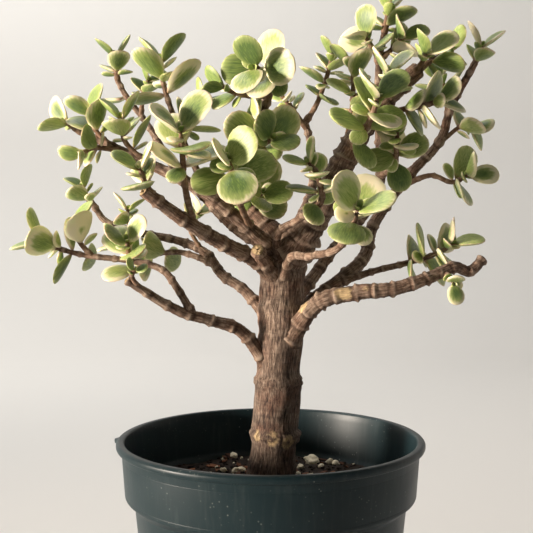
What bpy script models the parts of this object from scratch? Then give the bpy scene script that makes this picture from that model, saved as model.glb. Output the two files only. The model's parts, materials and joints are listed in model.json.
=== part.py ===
"""A variegated dwarf jade (elephant bush) in a plain nursery pot.

Blender 4.5, metres, +Z up. The pot stands on z = 0 with its axis on the Z axis. Stems and leafy
shoots are listed as hand-chosen routes in millimetres and grow from a point on their parent stem,
so each one is cut to fit what it grows from.
"""

import math
import random

import bmesh
import bpy
import numpy as np
from mathutils import Matrix, Vector, noise
from mathutils.bvhtree import BVHTree

MM = 0.001

# Driving dimensions
POT_HEIGHT = 0.140
RIM_DIAMETER = 0.150
BASE_DIAMETER = 0.108
POT_WALL = 0.0018
POT_FLOOR = 0.0025
LIP_HEIGHT = 0.0036
LIP_OUT = 0.0026
COLLAR_HEIGHT = 0.026
COLLAR_OUT = 0.0045
COLLAR_TAPER = 0.0020
DRAIN_HOLES = 8
DRAIN_DIAMETER = 0.008
DRAIN_INSET = 0.014
SOIL_BELOW_RIM = 0.026
SOIL_UNEVENNESS = 0.0016
TREE_HEIGHT = 0.248
CROWN_WIDTH = 0.246
TRUNK_DIAMETER = 0.0240
STEM_THICKNESS = 1.0
LEAF_LENGTH = 0.0158
LEAF_WIDTH = 0.0118
LEAF_THICKNESS = 0.0028
LEAF_SPACING = 0.0075
ROOT_DEPTH = 0.016
ROOT_REACH = 0.032
ROOT_DROP = 0.022
ROOT_RADII = (0.0045, 0.0016)
GRANULE_SIZE = 0.0075
GAP = 0.0003

# The routes below were laid out on a plant of this height and width.
DRAWN_HEIGHT = 0.248
DRAWN_WIDTH = 0.246

POT_SEGMENTS = 40
STEM_STEP = 0.013
SHOOT_STEP = 0.009
SOIL_TOP = POT_HEIGHT - SOIL_BELOW_RIM
UP = Vector((0, 0, 1))

# The trunk's way points, from its foot in the soil to the crotch of the crown.
TRUNK_ROUTE = [(-1, 0, -34), (0, 0, 0), (3, 0, 40), (5, 0, 78), (6, 2, 106), (6, 3, 121)]

# Stems: name, parent, place along the parent (0 its foot, 1 its tip), then the way points in
# millimetres (right, back, above the soil), and the diameter at the foot and at the tip.
STEMS = [
    ("right_leader", "trunk", 0.94, [(14, -9, 122), (26, -20, 141), (35, -28, 161), (50, -31, 183),
     (67, -29, 199)], 16.0, 7.6),
    ("inner_right_leader", "trunk", 0.78, [(18, 13, 99), (33, 27, 118), (50, 33, 137), (57, 20, 153),
     (55, 9, 178), (55, 10, 212), (58, 12, 228)], 7.0, 3.4),
    ("upper_left_branch", "trunk", 0.95, [(-5, -8, 123), (-28, -20, 142), (-52, -22, 155), (-75, -16, 166),
     (-91, -10, 174)], 7.6, 3.6),
    ("thick_left_branch", "trunk", 0.88, [(-8, -12, 113), (-22, -24, 120), (-40, -38, 131),
     (-55, -48, 142)], 8.4, 5.4),
    ("back_left_branch", "trunk", 0.97, [(-16, 12, 127), (-36, 26, 147), (-54, 42, 166), (-68, 50, 188),
     (-80, 50, 204), (-85, 50, 213)], 5.4, 3.0),
    ("centre_leader", "trunk", 0.99, [(-4, 8, 132), (-14, 10, 146), (-13, 3, 165), (-5, -6, 181),
     (2, -14, 200)], 10.0, 3.2),
    ("centre_back_branch", "trunk", 0.98, [(16, 28, 135), (23, 45, 152), (24, 54, 172), (20, 56, 191)],
     6.6, 3.6),
    ("rear_right_branch", "trunk", 0.70, [(20, 14, 90), (38, 27, 103), (51, 36, 115), (57, 43, 133),
     (75, 44, 158), (92, 40, 177), (98, 36, 196), (109, 30, 218)], 8.8, 3.6),
    ("lower_right_branch", "trunk", 0.64, [(21, -15, 91), (39, -21, 97), (57, -22, 99), (74, -18, 104),
     (87, -14, 109), (95, -12, 107), (102, -10, 113)], 9.4, 4.6),
    ("mid_left_branch", "trunk", 0.70, [(-12, 12, 96), (-25, 22, 105), (-35, 32, 117), (-52, 42, 124),
     (-72, 50, 128), (-91, 52, 134), (-100, 52, 145)], 6.0, 3.4),
    ("lower_left_branch", "trunk", 0.56, [(-13, -8, 77), (-29, -15, 84), (-44, -20, 89), (-66, -28, 103)],
     7.4, 3.6),
    ("pruned_stub", "trunk", 0.86, [(-4, -15, 113), (-6, -24, 117)], 7.0, 6.0),
]

# Leafy shoots: name, parent, place along it, way points, diameter at the foot, pairs of leaves,
# leaf size (1 is a full leaf), leaf narrowness (1 is round) and the turn of the tip pair in degrees.
SHOOTS = [
    ("far_left_shoot", "lower_left_branch", 0.62, [(-44, -17, 99), (-52, -14, 108), (-66, -13, 112),
     (-90, -12, 115), (-104, -10, 119), (-110, -11, 122)], 3.8, 4, 1.15, 1.0, 20),
    ("far_left_riser", "far_left_shoot", 0.70, [(-91, -13, 121), (-93, -15, 128)], 2.6, 2, 1.1, 1.0, 60),
    ("far_left_inner_riser", "far_left_shoot", 0.47, [(-67, -16, 116), (-67, -21, 121)], 2.4, 3, 1.15, 1.0,
     45),
    ("lower_left_sprout", "lower_left_branch", 0.93, [(-63, -31, 105), (-61, -35, 108)], 2.0, 1, 0.5, 1.0,
     30),
    ("mid_left_tip", "mid_left_branch", 1.0, [(-103, 53, 149), (-105, 53, 154)], 3.2, 3, 0.95, 1.0, 0),
    ("mid_left_riser", "mid_left_branch", 0.78, [(-80, 49, 135), (-79, 48, 141)], 2.4, 2, 0.9, 1.0, 15),
    ("mid_left_arm", "mid_left_branch", 0.40, [(-48, 38, 117), (-66, 44, 117), (-79, 41, 123)], 3.6, 4,
     1.1, 1.0, 30),
    ("inner_left_sprout", "mid_left_branch", 0.48, [(-43, 33, 130), (-38, 30, 138)], 2.2, 2, 0.95, 1.0, 50),
    ("upper_left_tip", "upper_left_branch", 1.0, [(-94, -9, 176), (-98, -10, 178)], 3.2, 3, 1.15, 1.0, 60),
    ("upper_left_riser", "upper_left_branch", 0.86, [(-83, -15, 174), (-85, -17, 181)], 2.6, 3, 1.1, 1.0,
     70),
    ("upper_left_mid_riser", "upper_left_branch", 0.70, [(-68, -22, 168), (-69, -24, 178)], 2.6, 4, 1.0,
     1.0, 10),
    ("upper_left_low_shoot", "upper_left_branch", 0.80, [(-82, -20, 165), (-87, -24, 162)], 2.4, 2, 0.9,
     1.0, 45),
    ("thick_left_tip", "thick_left_branch", 0.93, [(-54, -49, 145), (-56, -52, 151)], 3.0, 2, 1.1, 1.0, 10),
    ("mid_front_shoot", "thick_left_branch", 0.68, [(-38, -42, 145), (-38, -50, 157), (-38, -57, 166)],
     3.0, 3, 1.35, 1.0, 45),
    ("tall_left_shoot", "upper_left_branch", 0.42, [(-41, -16, 168), (-49, -8, 188), (-53, -4, 202),
     (-53, -6, 209)], 3.6, 3, 1.3, 0.85, 0),
    ("tall_left_side_shoot", "tall_left_shoot", 0.40, [(-38, -14, 181), (-33, -14, 188)], 2.6, 3, 0.9, 0.9,
     20),
    ("back_left_tip", "back_left_branch", 1.0, [(-86, 50, 219), (-86, 47, 226)], 2.8, 4, 1.1, 1.0, 45),
    ("back_left_side_shoot", "back_left_branch", 0.84, [(-70, 46, 206), (-67, 44, 212)], 2.4, 2, 0.8, 0.9,
     55),
    ("front_rosette", "upper_left_branch", 0.20, [(-16, -32, 143), (-17, -44, 150), (-18, -56, 154)], 3.2,
     3, 1.3, 1.0, 45),
    ("centre_low_shoot", "centre_leader", 0.30, [(-8, -6, 142), (-4, -21, 144)], 2.8, 3, 1.1, 1.0, 45),
    ("centre_front_shoot", "centre_leader", 0.55, [(-8, -12, 163), (-3, -24, 166), (0, -33, 167)], 3.0, 3,
     1.25, 1.0, 25),
    ("centre_right_shoot", "trunk", 0.92, [(3, -19, 124), (13, -31, 131), (22, -41, 138), (20, -47, 149),
     (16, -50, 154)], 4.6, 4, 0.9, 1.0, 15),
    ("front_right_shoot", "trunk", 0.84, [(9, -19, 113), (18, -38, 114), (28, -56, 117), (33, -66, 126),
     (34, -76, 132)], 4.8, 2, 1.35, 1.0, 5),
    ("crown_tip", "centre_leader", 1.0, [(-3, -24, 200), (-7, -33, 199)], 2.6, 3, 1.3, 1.0, 45),
    ("crown_left_shoot", "centre_leader", 0.90, [(-9, -20, 189), (-18, -25, 190), (-22, -26, 192)], 2.6, 4,
     0.85, 0.8, 60),
    ("back_fork_left", "centre_back_branch", 0.96, [(12, 50, 198), (4, 43, 206)], 3.0, 3, 0.75, 0.9, 35),
    ("back_fork_right", "centre_back_branch", 1.0, [(26, 50, 200), (31, 45, 213), (34, 41, 225)], 3.2, 4,
     1.0, 0.85, 45),
    ("top_right_tip", "inner_right_leader", 1.0, [(59, 12, 234), (60, 12, 240)], 3.0, 4, 1.1, 0.9, 60),
    ("top_right_side_shoot", "inner_right_leader", 0.92, [(61, 9, 219), (65, 3, 223)], 2.6, 2, 1.1, 1.1,
     45),
    ("top_right_inner_shoot", "inner_right_leader", 0.90, [(52, 7, 218), (47, 1, 223)], 2.4, 2, 1.1, 1.1,
     45),
    ("leader_riser", "right_leader", 0.95, [(67, -34, 200), (69, -38, 204)], 2.8, 3, 1.1, 0.9, 45),
    ("leader_tip", "right_leader", 0.98, [(73, -29, 203), (80, -27, 207)], 2.8, 3, 1.1, 0.85, 50),
    ("leader_inner_shoot", "right_leader", 0.80, [(51, -35, 189), (52, -39, 195)], 2.8, 3, 1.1, 1.0, 45),
    ("leader_front_shoot", "right_leader", 0.56, [(41, -41, 169), (44, -49, 176), (45, -54, 181)], 3.4, 4,
     1.15, 1.0, 45),
    ("leader_side_shoot", "right_leader", 0.73, [(58, -38, 179), (67, -42, 180), (74, -43, 182)], 3.0, 3,
     1.05, 1.0, 45),
    ("leader_back_riser", "right_leader", 0.52, [(38, -18, 182), (39, -16, 198), (38, -15, 206)], 3.0, 4,
     1.0, 0.8, 40),
    ("right_inner_shoot", "inner_right_leader", 0.58, [(60, -4, 158), (58, -24, 162), (57, -33, 170)], 3.2,
     4, 0.95, 1.0, 45),
    ("rear_right_tip", "rear_right_branch", 1.0, [(111, 29, 222), (112, 28, 226)], 2.8, 3, 1.0, 0.9, 20),
    ("rear_right_riser", "rear_right_branch", 0.84, [(94, 36, 206), (92, 36, 211)], 2.6, 3, 1.0, 0.9, 80),
    ("rear_right_outer_shoot", "rear_right_branch", 0.74, [(104, 39, 186), (110, 39, 184)], 2.6, 2, 1.0,
     1.0, 30),
    ("rear_right_side_arm", "rear_right_branch", 0.60, [(87, 40, 159), (98, 36, 155), (105, 28, 158)], 3.2,
     2, 1.15, 1.0, 45),
    ("low_right_riser", "rear_right_branch", 0.24, [(54, 22, 107), (73, 14, 112), (86, 7, 117),
     (90, 4, 121)], 4.2, 4, 1.15, 1.0, 25),
    ("lower_right_sprout", "lower_right_branch", 0.80, [(84, -22, 104), (84, -26, 102)], 2.2, 1, 0.75, 1.0,
     45),
]

# Granules lying on the soil: angle round the trunk in degrees, distance from the axis and size.
GRANULES = [("pumice_granule_large", 62, 0.050, 1.0), ("pumice_granule_small", 74, 0.036, 0.65)]
ROOT_ANGLES = (25, 112, 205, 300)


def clear_scene():
    for obj in list(bpy.data.objects):
        bpy.data.objects.remove(obj, do_unlink=True)


def srgb(hex_colour):
    """Linear RGBA of an sRGB hex colour."""
    channels = [int(hex_colour[i:i + 2], 16) / 255 for i in (1, 3, 5)]
    linear = [c / 12.92 if c <= 0.04045 else ((c + 0.055) / 1.055) ** 2.4 for c in channels]
    return (*linear, 1.0)


def make_material(name, hex_colour, roughness):
    material = bpy.data.materials.new(name)
    material.use_nodes = True
    shader = material.node_tree.nodes["Principled BSDF"]
    shader.inputs["Base Color"].default_value = srgb(hex_colour)
    shader.inputs["Roughness"].default_value = roughness
    shader.inputs["Metallic"].default_value = 0.0
    return material


def object_from_bmesh(name, bm, material=None):
    """Turn a bmesh into a linked object whose faces point outwards."""
    bmesh.ops.recalc_face_normals(bm, faces=bm.faces)
    mesh = bpy.data.meshes.new(name)
    bm.to_mesh(mesh)
    bm.free()
    obj = bpy.data.objects.new(name, mesh)
    bpy.context.scene.collection.objects.link(obj)
    if material:
        mesh.materials.append(material)
        mesh.shade_smooth()
        mesh.set_sharp_from_angle(angle=math.radians(40))
    return obj


def apply_booleans(obj, operation, tools):
    """Join or cut obj with each tool object, apply it, and remove the tools."""
    for tool in tools:
        tool.hide_render = True
        tool.display_type = "WIRE"
        boolean = obj.modifiers.new(tool.name, "BOOLEAN")
        boolean.operation = operation
        boolean.solver = "EXACT"
        boolean.object = tool
    graph = bpy.context.evaluated_depsgraph_get()
    result = bpy.data.meshes.new_from_object(obj.evaluated_get(graph))
    obj.modifiers.clear()
    obj.data = result
    for tool in tools:
        bpy.data.objects.remove(tool, do_unlink=True)


def keep_largest_island(obj):
    """Drop the crumbs that a cut leaves on the far side of its cutter."""
    bm = bmesh.new()
    bm.from_mesh(obj.data)
    bmesh.ops.dissolve_degenerate(bm, dist=1e-6, edges=bm.edges)
    left = set(bm.verts)
    islands = []
    while left:
        island = set()
        front = [left.pop()]
        while front:
            vert = front.pop()
            island.add(vert)
            near = {edge.other_vert(vert) for edge in vert.link_edges} & left
            left -= near
            front.extend(near)
        islands.append(island)
    largest = max(islands, key=len)
    bmesh.ops.delete(bm, geom=[v for v in bm.verts if v not in largest], context="VERTS")
    bm.to_mesh(obj.data)
    bm.free()


# Pot and soil

def collar_radius(height):
    """Outside radius of the collar, which widens towards the lip."""
    top = RIM_DIAMETER / 2 - LIP_OUT
    below = (POT_HEIGHT - LIP_HEIGHT - height) / COLLAR_HEIGHT
    return top - COLLAR_TAPER * below


def body_top():
    """Height and outside radius where the tapered body meets the collar's step."""
    step_height = COLLAR_OUT * 0.8
    height = POT_HEIGHT - COLLAR_HEIGHT - step_height
    return height, collar_radius(POT_HEIGHT - COLLAR_HEIGHT) - COLLAR_OUT


def body_radius(height):
    """Outside radius of the tapered body."""
    top_height, top_radius = body_top()
    share = height / top_height
    return BASE_DIAMETER / 2 + (top_radius - BASE_DIAMETER / 2) * share


def turned_solid(profile, segments):
    """Spin a closed half profile of (radius, height) points round the Z axis."""
    bm = bmesh.new()
    verts = [bm.verts.new((radius, 0, height)) for radius, height in profile]
    edges = [bm.edges.new(pair) for pair in zip(verts, verts[1:])]
    bmesh.ops.spin(bm, geom=verts + edges, axis=UP, cent=(0, 0, 0), angle=math.tau, steps=segments,
                   use_merge=True)
    bmesh.ops.remove_doubles(bm, verts=bm.verts, dist=1e-6)
    return bm


def make_pot(material):
    top_height, top_radius = body_top()
    rim = RIM_DIAMETER / 2
    collar_low = POT_HEIGHT - COLLAR_HEIGHT
    lip_low = POT_HEIGHT - LIP_HEIGHT
    inner_low = collar_low + POT_WALL
    profile = [
        (0, 0),
        (BASE_DIAMETER / 2 - POT_WALL, 0),
        (BASE_DIAMETER / 2, POT_WALL),
        (top_radius, top_height),
        (collar_radius(collar_low), collar_low),
        (collar_radius(lip_low), lip_low),
        (rim - LIP_OUT * 0.2, lip_low),
        (rim, lip_low + LIP_HEIGHT * 0.3),
        (rim, POT_HEIGHT - LIP_HEIGHT * 0.3),
        (rim - LIP_OUT * 0.4, POT_HEIGHT),
        (rim - LIP_OUT - POT_WALL * 0.7, POT_HEIGHT),
        (collar_radius(lip_low) - POT_WALL, lip_low),
        (collar_radius(inner_low) - POT_WALL, inner_low),
        (top_radius - POT_WALL, top_height),
        (body_radius(POT_FLOOR) - POT_WALL, POT_FLOOR),
        (0, POT_FLOOR),
    ]
    pot = object_from_bmesh("nursery_pot", turned_solid(profile, POT_SEGMENTS), material)
    drills = bmesh.new()
    for index in range(DRAIN_HOLES):
        angle = math.tau * (index + 0.5) / DRAIN_HOLES
        reach = BASE_DIAMETER / 2 - DRAIN_INSET
        place = Matrix.Translation((reach * math.cos(angle), reach * math.sin(angle), POT_FLOOR / 2))
        bmesh.ops.create_cone(drills, cap_ends=True, segments=10, radius1=DRAIN_DIAMETER / 2,
                              radius2=DRAIN_DIAMETER / 2, depth=POT_FLOOR * 3, matrix=place)
    apply_booleans(pot, "DIFFERENCE", [object_from_bmesh("drain_drills", drills)])
    return pot


def soil_height(radius, angle):
    """Top of the soil: a low, uneven mound that stays level at the wall."""
    place = Vector((radius * math.cos(angle), radius * math.sin(angle), 0)) / 0.016
    mound = 0.002 * (1 - radius / (RIM_DIAMETER / 2))
    return SOIL_TOP + mound + SOIL_UNEVENNESS * noise.noise(place)


def make_soil(material):
    rings = 5
    segments = 20
    step_height, top_radius = body_top()
    # The pot has POT_SEGMENTS flat sides, so the soil keeps clear of their middles.
    flat = math.cos(math.pi / POT_SEGMENTS)
    clear = POT_WALL + GAP * 2
    edge = (top_radius - clear) * flat
    profile = [
        (0, POT_FLOOR + GAP),
        ((body_radius(POT_FLOOR) - clear) * flat, POT_FLOOR + GAP),
        (edge, step_height),
    ]
    if SOIL_TOP - SOIL_UNEVENNESS > step_height + GAP:
        profile.append((edge, SOIL_TOP - SOIL_UNEVENNESS))
    profile += [(edge * ring / rings, SOIL_TOP) for ring in range(rings, -1, -1)]
    bm = turned_solid(profile, segments)
    for vert in bm.verts:
        if abs(vert.co.z - SOIL_TOP) < 1e-6:
            vert.co.z = soil_height(math.hypot(vert.co.x, vert.co.y), math.atan2(vert.co.y, vert.co.x))
    return object_from_bmesh("potting_soil", bm, material)


def granule_mesh(angle, distance, size, grow):
    bm = bmesh.new()
    bmesh.ops.create_icosphere(bm, subdivisions=2, radius=GRANULE_SIZE * size / 2 + grow)
    for vert in bm.verts:
        vert.co *= 1 + 0.22 * noise.noise(vert.co * 420 + Vector((distance * 900, angle, 0)))
        vert.co.z *= 0.8
    turn = math.radians(angle)
    height = soil_height(distance, turn) + GRANULE_SIZE * size * 0.2
    spot = Vector((distance * math.cos(turn), distance * math.sin(turn), height))
    bmesh.ops.translate(bm, verts=bm.verts, vec=spot)
    return bm


# Stems and leaves

def plant_point(point):
    """A way point in metres, on a plant of the set height and width."""
    wide = CROWN_WIDTH / DRAWN_WIDTH
    tall = TREE_HEIGHT / DRAWN_HEIGHT
    x, y, height = point
    return Vector((x * MM * wide, y * MM * wide, SOIL_TOP + height * MM * tall))


def smooth_route(points, step):
    """Points along a Catmull-Rom curve through the way points, about one step apart."""
    ends = [points[0] * 2 - points[1]] + points + [points[-1] * 2 - points[-2]]
    route = []
    for before, start, end, after in zip(ends, ends[1:], ends[2:], ends[3:]):
        count = max(1, round((end - start).length / step))
        for index in range(count):
            t = index / count
            bend = start * 2 + (end - before) * t
            bend += (before * 2 - start * 5 + end * 4 - after) * t ** 2
            bend += (start * 3 - before - end * 3 + after) * t ** 3
            route.append(bend / 2)
    return route + [points[-1].copy()]


def point_on(route, share):
    """The point and direction at a share of the route's length."""
    lengths = [0.0]
    for start, end in zip(route, route[1:]):
        lengths.append(lengths[-1] + (end - start).length)
    target = share * lengths[-1]
    for index, (start, end) in enumerate(zip(route, route[1:])):
        if target <= lengths[index + 1] or index == len(route) - 2:
            inside = (target - lengths[index]) / (lengths[index + 1] - lengths[index])
            return start.lerp(end, inside), (end - start).normalized()
    return route[-1], (route[-1] - route[-2]).normalized()


def stem_radius(stem, share):
    foot, tip = stem["radii"]
    return foot + (tip - foot) * share


def stem_tube(name, stem, grow=0.0):
    """A closed tapered tube along the stem's route, as an object."""
    curve = bpy.data.curves.new(name, "CURVE")
    curve.dimensions = "3D"
    curve.bevel_depth = 1.0
    curve.bevel_resolution = stem["roundness"]
    curve.use_fill_caps = True
    spline = curve.splines.new("POLY")
    spline.points.add(len(stem["route"]) - 1)
    last = len(stem["route"]) - 1
    for index, (point, place) in enumerate(zip(spline.points, stem["route"])):
        point.co = (*place, 1)
        point.radius = stem_radius(stem, index / last) + grow
    helper = bpy.data.objects.new(name, curve)
    bpy.context.scene.collection.objects.link(helper)
    graph = bpy.context.evaluated_depsgraph_get()
    bm = bmesh.new()
    bm.from_mesh(bpy.data.meshes.new_from_object(helper.evaluated_get(graph)))
    bpy.data.objects.remove(helper, do_unlink=True)
    bmesh.ops.remove_doubles(bm, verts=bm.verts, dist=1e-7)
    return object_from_bmesh(name, bm)


def plan_trunk():
    """The trunk leans a little to the right and narrows under its crown."""
    return {
        "route": smooth_route([plant_point(p) for p in TRUNK_ROUTE], STEM_STEP),
        "radii": (TRUNK_DIAMETER / 2, TRUNK_DIAMETER / 2 * 0.86),
        "roundness": 4,
    }


def plan_stem(stems, parent, share, points, diameters, step, roundness):
    """A stem that starts on its parent's centre line."""
    foot, _ = point_on(stems[parent]["route"], share)
    limit = stem_radius(stems[parent], share) * 0.9
    radii = [d * MM * STEM_THICKNESS / 2 for d in diameters]
    return {
        "route": smooth_route([foot] + [plant_point(p) for p in points], step),
        "radii": (min(radii[0], limit), radii[1]),
        "roundness": roundness,
        "parent": parent,
    }


def leaf_bmesh(size, narrow, matrix, grow=0.0):
    """A plump obovate leaf from its foot at the matrix's origin, along its X axis."""
    bm = bmesh.new()
    bmesh.ops.create_icosphere(bm, subdivisions=1, radius=0.5)
    bmesh.ops.rotate(bm, verts=bm.verts, matrix=Matrix.Rotation(math.pi / 2, 3, "Y"))
    for vert in bm.verts:
        vert.co.x += 0.5
        vert.co.y *= (0.86 + 0.4 * vert.co.x) * (LEAF_WIDTH * size * narrow + grow) * 1.12
        vert.co.z *= LEAF_THICKNESS * (0.5 + size / 2) + grow
        vert.co.x *= LEAF_LENGTH * size + grow
    bm.transform(matrix)
    return bm


def leaf_places(stem, pairs, size, narrow, turn, chance):
    """Opposite leaves in pairs, each pair a quarter turn from the last, wider spread down the stem."""
    length = sum((b - a).length for a, b in zip(stem["route"], stem["route"][1:]))
    for pair in range(pairs):
        share = 1 - (0.0006 + pair * LEAF_SPACING * (0.7 + size * 0.3)) / length
        spot, along = point_on(stem["route"], share)
        side = along.cross(Vector((0.31, 0.93, 0.2))).normalized()
        side = Matrix.Rotation(math.radians(turn + 90 * pair), 3, along) @ side
        rise = math.radians((52, 30, 18, 10)[pair])
        for way in (side, -side):
            own_size = size * chance.uniform(0.88, 1.1) * (0.86 if pair == 0 else 1.0)
            yield spot, along, way, rise, own_size, narrow


def leaf_matrix(spot, along, way, rise, twist, reach):
    """Leaf axes: X out from the stem, Z its upper face."""
    out = (way * math.cos(rise) + along * math.sin(rise)).normalized()
    face = (along * math.cos(rise) - way * math.sin(rise)).normalized()
    face = Matrix.Rotation(twist, 3, out) @ face
    across = face.cross(out)
    axes = Matrix((out, across, face)).transposed().to_4x4()
    return Matrix.Translation(spot + way * reach) @ axes


def clear_of(tree, others):
    return not any(tree.overlap(other) for other in others)


def place_leaves(stem, row, others, chance):
    """Leaves that touch nothing but their own stem: each tries other pitches, then a smaller size."""
    pairs, size, narrow, turn = row
    placed = []
    for spot, along, way, rise, own_size, narrow in leaf_places(stem, pairs, size, narrow, turn, chance):
        twist = math.radians(chance.uniform(-14, 14))
        reach = stem["radii"][1] * 0.45
        for shrink in (1.0, 0.8, 0.62):
            tries = [leaf_matrix(spot, along, way, rise + math.radians(tilt), twist, reach)
                     for tilt in (0, 14, -14, 28, -28, 42)]
            found = None
            for matrix in tries:
                test = leaf_bmesh(own_size * shrink, narrow, matrix, GAP * 3)
                tree = BVHTree.FromBMesh(test)
                test.free()
                if clear_of(tree, others + [p["tree"] for p in placed]):
                    found = {"matrix": matrix, "size": own_size * shrink, "narrow": narrow, "tree": tree}
                    break
            if found:
                placed.append(found)
                break
    return placed


def tube_tree(stem, grow):
    """A search tree of the stem's tube, grown by a clearance."""
    tube = stem_tube("test", stem, grow)
    bm = bmesh.new()
    bm.from_mesh(tube.data)
    tree = BVHTree.FromBMesh(bm)
    bm.free()
    bpy.data.objects.remove(tube, do_unlink=True)
    return tree


def plan_plant():
    """All stems with their leaves, before anything is cut."""
    stems = {"trunk": plan_trunk()}
    for name, parent, share, points, foot, tip in STEMS:
        stems[name] = plan_stem(stems, parent, share, points, (foot, tip), STEM_STEP, 2)
    for name, parent, share, points, foot, *row in SHOOTS:
        stems[name] = plan_stem(stems, parent, share, points, (foot, 2.2), SHOOT_STEP, 1)
    trees = {name: tube_tree(stem, GAP) for name, stem in stems.items()}
    leaf_trees = []
    chance = random.Random(7)
    for name, parent, share, points, foot, *row in SHOOTS:
        others = [tree for other, tree in trees.items() if other != name] + leaf_trees
        stems[name]["leaves"] = place_leaves(stems[name], row, others, chance)
        leaf_trees += [leaf["tree"] for leaf in stems[name]["leaves"]]
    return stems, trees


def root_tube(angle):
    """A main root that leaves the trunk below the soil's top and runs outwards and down."""
    turn = math.radians(angle)
    out = Vector((math.cos(turn), math.sin(turn), 0))
    foot = Vector((0, 0, SOIL_TOP - ROOT_DEPTH))
    bend = foot + out * ROOT_REACH / 2 - UP * ROOT_DROP / 3
    root = {
        "route": smooth_route([foot, bend, foot + out * ROOT_REACH - UP * ROOT_DROP], SHOOT_STEP),
        "radii": ROOT_RADII,
        "roundness": 1,
    }
    return stem_tube(f"root_{angle}", root)


def grown_body(name, stem, grow=0.0):
    """The stem's tube joined with its leaves, or the trunk's with its roots."""
    body = stem_tube(name, stem, grow)
    if stem.get("leaves"):
        bm = bmesh.new()
        for leaf in stem["leaves"]:
            part = leaf_bmesh(leaf["size"], leaf["narrow"], leaf["matrix"], grow)
            mesh = bpy.data.meshes.new("leaf")
            part.to_mesh(mesh)
            part.free()
            bm.from_mesh(mesh)
            bpy.data.meshes.remove(mesh)
        apply_booleans(body, "UNION", [object_from_bmesh("leaves", bm)])
    if name == "trunk":
        apply_booleans(body, "UNION", [root_tube(angle) for angle in ROOT_ANGLES])
    return body


def finish_stem(body, material):
    body.data.materials.clear()
    body.data.materials.append(material)
    body.data.shade_smooth()
    body.data.set_sharp_from_angle(angle=math.radians(40))


def make_plant(bark, leaf):
    """Build each stem and cut it back from every earlier stem that it runs into."""
    stems, trees = plan_plant()
    earlier = []
    for name, stem in stems.items():
        body = grown_body(name, stem)
        crossed = [other for other in earlier if trees[name].overlap(trees[other])]
        if crossed:
            apply_booleans(body, "DIFFERENCE", [stem_tube(f"{o}_cutter", stems[o], GAP) for o in crossed])
            keep_largest_island(body)
        finish_stem(body, leaf if "leaves" in stem else bark)
        earlier.append(name)
    return stems


def make_granules(material, soil):
    for name, angle, distance, size in GRANULES:
        object_from_bmesh(name, granule_mesh(angle, distance, size, 0.0), material)
        cutter = object_from_bmesh(f"{name}_cutter", granule_mesh(angle, distance, size, GAP))
        apply_booleans(soil, "DIFFERENCE", [cutter])


def cut_soil_round_trunk(soil, trunk_stem):
    """The soil leaves room for the trunk and its main roots."""
    cutter = stem_tube("trunk_cutter", trunk_stem, GAP)
    roots = []
    for angle in ROOT_ANGLES:
        root = root_tube(angle)
        swell = root.modifiers.new("swell", "DISPLACE")
        swell.strength = GAP * 2
        swell.mid_level = 0.0
        roots.append(root)
    apply_booleans(soil, "DIFFERENCE", [cutter] + roots)
    keep_largest_island(soil)


def main():
    clear_scene()
    plastic = make_material("pot_plastic", "#2D3838", 0.45)
    compost = make_material("potting_compost", "#2A211B", 0.95)
    pumice = make_material("pumice", "#CDBF9F", 0.9)
    bark = make_material("jade_bark", "#6D5644", 0.85)
    leaf = make_material("variegated_leaf", "#8FA45A", 0.38)
    make_pot(plastic)
    soil = make_soil(compost)
    stems = make_plant(bark, leaf)
    make_granules(pumice, soil)
    cut_soil_round_trunk(soil, stems["trunk"])
    for obj in bpy.context.scene.objects:
        obj.data.name = obj.name


main()
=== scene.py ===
"""Looks of a variegated dwarf jade in a nursery pot, laid out as a Blender add-on."""

import json
import math
import random
from functools import partial
from itertools import product

import bmesh
import bpy
from bpy.props import FloatProperty, FloatVectorProperty, IntProperty, PointerProperty
from mathutils import Matrix, Vector, noise
from mathutils.bvhtree import BVHTree

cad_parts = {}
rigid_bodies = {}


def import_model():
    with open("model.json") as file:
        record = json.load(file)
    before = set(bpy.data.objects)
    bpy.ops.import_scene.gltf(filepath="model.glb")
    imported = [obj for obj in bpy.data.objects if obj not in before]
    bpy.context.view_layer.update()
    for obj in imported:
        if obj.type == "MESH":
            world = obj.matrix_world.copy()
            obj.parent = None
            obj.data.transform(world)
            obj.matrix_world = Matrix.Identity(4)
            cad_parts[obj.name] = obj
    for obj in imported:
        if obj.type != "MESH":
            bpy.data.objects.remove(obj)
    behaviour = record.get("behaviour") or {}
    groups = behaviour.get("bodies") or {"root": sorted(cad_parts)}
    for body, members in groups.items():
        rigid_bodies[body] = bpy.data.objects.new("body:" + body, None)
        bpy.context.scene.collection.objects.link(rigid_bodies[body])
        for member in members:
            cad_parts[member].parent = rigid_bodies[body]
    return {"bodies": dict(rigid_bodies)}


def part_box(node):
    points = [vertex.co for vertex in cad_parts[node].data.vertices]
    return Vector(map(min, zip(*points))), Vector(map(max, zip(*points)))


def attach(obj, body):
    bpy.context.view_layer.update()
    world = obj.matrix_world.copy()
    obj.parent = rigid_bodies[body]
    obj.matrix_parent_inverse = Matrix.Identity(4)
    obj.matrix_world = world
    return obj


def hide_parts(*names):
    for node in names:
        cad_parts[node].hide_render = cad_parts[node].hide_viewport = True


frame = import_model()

bl_info = {
    "name": "Potted Dwarf Jade",
    "version": (1, 0, 0),
    "blender": (4, 5, 0),
    "location": "View3D > Sidebar > Jade",
    "description": "Builds a variegated dwarf jade, its compost and its nursery pot",
    "category": "Object",
}

MM = 0.001
UP = Vector((0, 0, 1))
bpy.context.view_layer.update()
POT_LOW, POT_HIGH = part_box("nursery_pot")
BODY = list(frame["bodies"])[0]
GAP = 0.0003
ROOT_DEPTH = 0.016
ROOT_REACH = 0.032
ROOT_DROP = 0.022
ROOT_RADII = (0.0045, 0.0016)

# The routes below were laid out on a plant of this height and width.
DRAWN_HEIGHT = 0.248
DRAWN_WIDTH = 0.246
STEM_STEP = 0.013
SHOOT_STEP = 0.009

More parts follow.
